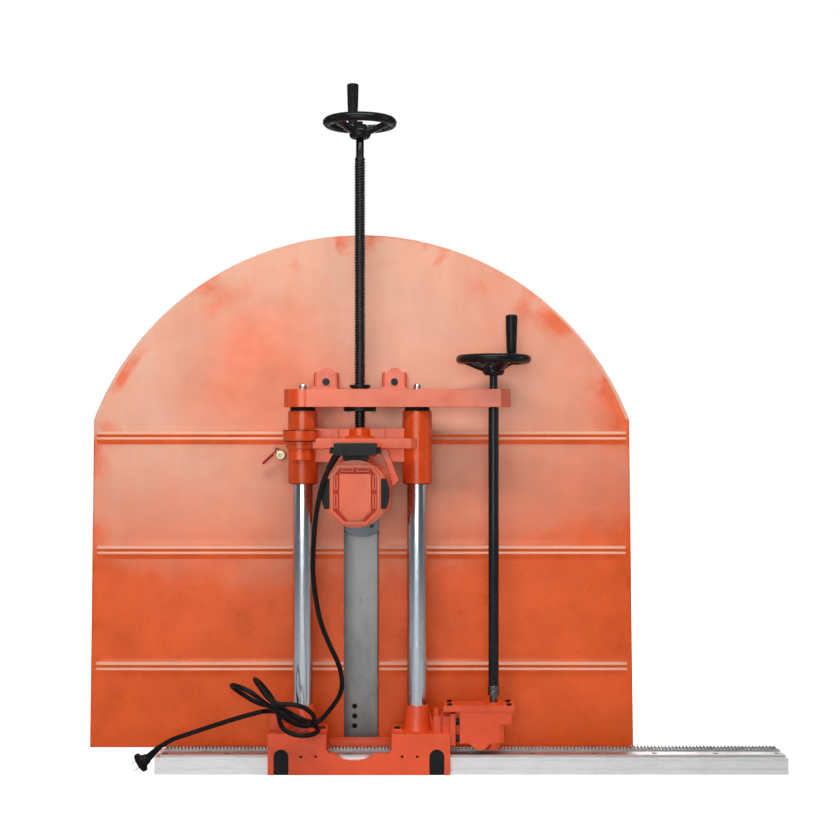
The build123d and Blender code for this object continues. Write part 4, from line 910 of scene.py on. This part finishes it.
# The recessed floor of the motor face takes the painted-shade paint.
bm = prism(bmesh.new(), octagon, -0.2485, -0.2455)
bevel_sharp(bm, 0.0009)
add_object("motor_face_base", bm, RECESS_SHADE, "carriage", weighted=True)
bm = raised_frame(bmesh.new(), inset(octagon, 0.995), inset(octagon, 0.905), -0.2540, FACE_Y)
bevel_sharp(bm, 0.0017, 2, 50)
add_object("motor_face_border", bm, MATERIAL["motor_paint"], "carriage", weighted=True)
plate = [(-0.0325, 0.6700), (0.0325, 0.6700), (0.0325, 0.5970), (0.0125, 0.5750), (-0.0125, 0.5750),
         (-0.0325, 0.5970)]
bm = prism(bmesh.new(), plate, -0.2560, FACE_Y)
bevel_sharp(bm, 0.0032, 3)
add_object("motor_face_plate", bm, MATERIAL["motor_paint"], "carriage", weighted=True)
bm = bmesh.new()
for side in (-1, 1):
    for x in (0.0372, 0.0428):
        for z0, z1 in ((0.5990, 0.6265), (0.6375, 0.6660)):
            block(bm, side * x - 0.0012, side * x + 0.0012, -0.2535, FACE_Y, z0, z1)
    for z in (0.5998, 0.6257, 0.6383, 0.6652):
        block(bm, side * 0.0400 - 0.0038, side * 0.0400 + 0.0038, -0.2533, FACE_Y, z - 0.0010, z + 0.0010)
for x0, x1 in ((-0.0290, -0.0030), (0.0030, 0.0290)):
    for z in (0.6755, 0.6825):
        block(bm, x0, x1, -0.2533, FACE_Y, z - 0.0011, z + 0.0011)
    for x in (x0 + 0.001, x1 - 0.001):
        block(bm, x - 0.0010, x + 0.0010, -0.2531, FACE_Y, 0.6760, 0.6820)
bevel_sharp(bm, 0.0005)
add_object("motor_face_ribs", bm, MATERIAL["motor_paint"], "carriage", weighted=True)

# screws in the vents, and the louvre slots beside them
bm = bmesh.new()
for side in (-1, 1):
    head = [(0, 0), (0.0042, 0), (0.0042, 0.0022), (0.0018, 0.0022), (0.0018, 0.0010), (0, 0.0010)]
    lathe(bm, rounded(head, 0.0005), at(side * 0.0600, -0.2450, MOTOR_Z - 0.002, (0, -1, 0)), 18)
add_object("motor_vent_screws", bm, MATERIAL["nut_black"], "carriage")
bm = bmesh.new()
for side in (-1, 1):
    for k in range(9):
        z = MOTOR_Z - 0.0265 + 0.0066 * k
        wide = sqrt(max(BARREL_R**2 - (z - MOTOR_Z) ** 2, 0))
        if abs(z - MOTOR_Z + 0.002) > 0.005:
            x0, x1 = sorted((side * 0.0545, side * (wide - 0.0015)))
            block(bm, x0, x1, FACE_Y, -0.2440, z - 0.0011, z + 0.0011)
bevel_sharp(bm, 0.0004)
add_object("motor_vent_louvres", bm, MATERIAL["vent_black"], "carriage", weighted=True)

# ---------------------------------------------------------------- carriage's stack, black rings as painted shade in its seams, and wipers
COLUMN_X = 0.128
# Thin black rings in the stack's seams stand in for the shade of the gaps between its rings.
bm = bmesh.new()
for z, r in ((0.7605, 0.0388), (0.7363, 0.0376)):
    lathe(bm, [(0.0300, z - 0.0006), (r, z - 0.0006), (r, z + 0.0006), (0.0300, z + 0.0006)],
          at(-COLUMN_X, -0.072, 0), 48)
add_object("stack_seam_shade", bm, MATERIAL["nut_black"], "carriage")
bm = bmesh.new()
for side in (-1, 1):
    for z in (0.6400, 0.8035):
        lathe(bm, rounded([(0.0228, z), (0.0290, z), (0.0290, z + 0.0022), (0.0228, z + 0.0022)], 0.0006),
              at(side * COLUMN_X, 0, 0), 48)
add_object("column_wipers", bm, MATERIAL["bumper_rubber"], "carriage")

# ---------------------------------------------------------------- water valve
VALVE = Vector((-0.183, 0.070, 0.704))
port = rounded([(0.0056, -0.0172), (0.0098, -0.0172), (0.0108, -0.0155), (0.0108, -0.0125),
                (0.0092, -0.0120), (0.0092, 0.0150), (0, 0.0150)], 0.0006)
bm = lathe(bmesh.new(), port, at(*VALVE, (0, 1, 0)), 36, close=False)
add_object("valve_port", bm, MATERIAL["brass"], "base")
# The bore's lining and floor are dark oxide: painted shade inside the hole.
bore = [(0.0056, -0.0171), (0.0054, -0.0060), (0, -0.0060)]
bm = lathe(bmesh.new(), bore, at(*VALVE, (0, 1, 0)), 36, close=False)
add_object("valve_bore_shade", bm, OXIDE, "base")
STEM = Vector((-sin(radians(43)), 0, cos(radians(43))))
ALONG = Vector((-STEM.z, 0, STEM.x))
lever_foot = VALVE + STEM * 0.0143


def squared(value):
    """Pushes a circle's coordinate out towards a rounded rectangle."""
    return abs(value) ** 0.6 * (1 if value > 0 else -1)


bm = bmesh.new()
rows = []
for step in range(41):
    d = -0.0065 + 0.0510 * step / 40
    drop = min(max((d - 0.006) / 0.009, 0), 1)
    centre = lever_foot + ALONG * d + STEM * (0.0014 - 0.0015 * drop * drop * (3 - 2 * drop))
    sleeve = min(max((d - 0.0120) / 0.0012, 0), 1)
    taper = min(1.0, (step + 1.5) / 4, (41.5 - step) / 4) ** 0.5
    wide, thick = (0.0045 + 0.0010 * sleeve) * taper, (0.0012 + 0.0017 * sleeve) * (0.5 + 0.5 * taper)
    turns = [2 * pi * n / 16 for n in range(16)]
    row = []
    for q in turns:
        flat, tall = squared(cos(q)), squared(sin(q))
        row.append(bm.verts.new(centre + Vector((0, 1, 0)) * wide * flat + STEM * thick * tall))
    rows.append(row)
skin(bm, rows)
add_object("valve_lever_sleeved", bm, MATERIAL["lever_red"], "valve_stem",
           ["valve_lever"])
nut = rounded([(0, 0.0024), (0.0046, 0.0024), (0.0048, 0.0030), (0.0048, 0.0058), (0.0044, 0.0064),
               (0.0026, 0.0066), (0.0024, 0.0080), (0, 0.0080)], 0.0002)
bm = lathe(bmesh.new(), nut, at(*lever_foot, STEM), 6)
add_object("valve_nut", bm, ZINC, "valve_stem", smooth=25)

# ---------------------------------------------------------------- screws in the wear strip
bm = bmesh.new()
for z in (0.113, 0.090, 0.067):
    head = [(0, 0), (0.0057, 0), (0.0057, 0.0010), (0.0034, 0.0016), (0.0030, 0.0006), (0, 0.0006)]
    lathe(bm, rounded(head, 0.0002), at(STRIP_HOLE_X, 0.1628, z, (0, -1, 0)), 24)
add_object("strip_hole_screws", bm, MATERIAL["nut_black"], "base")
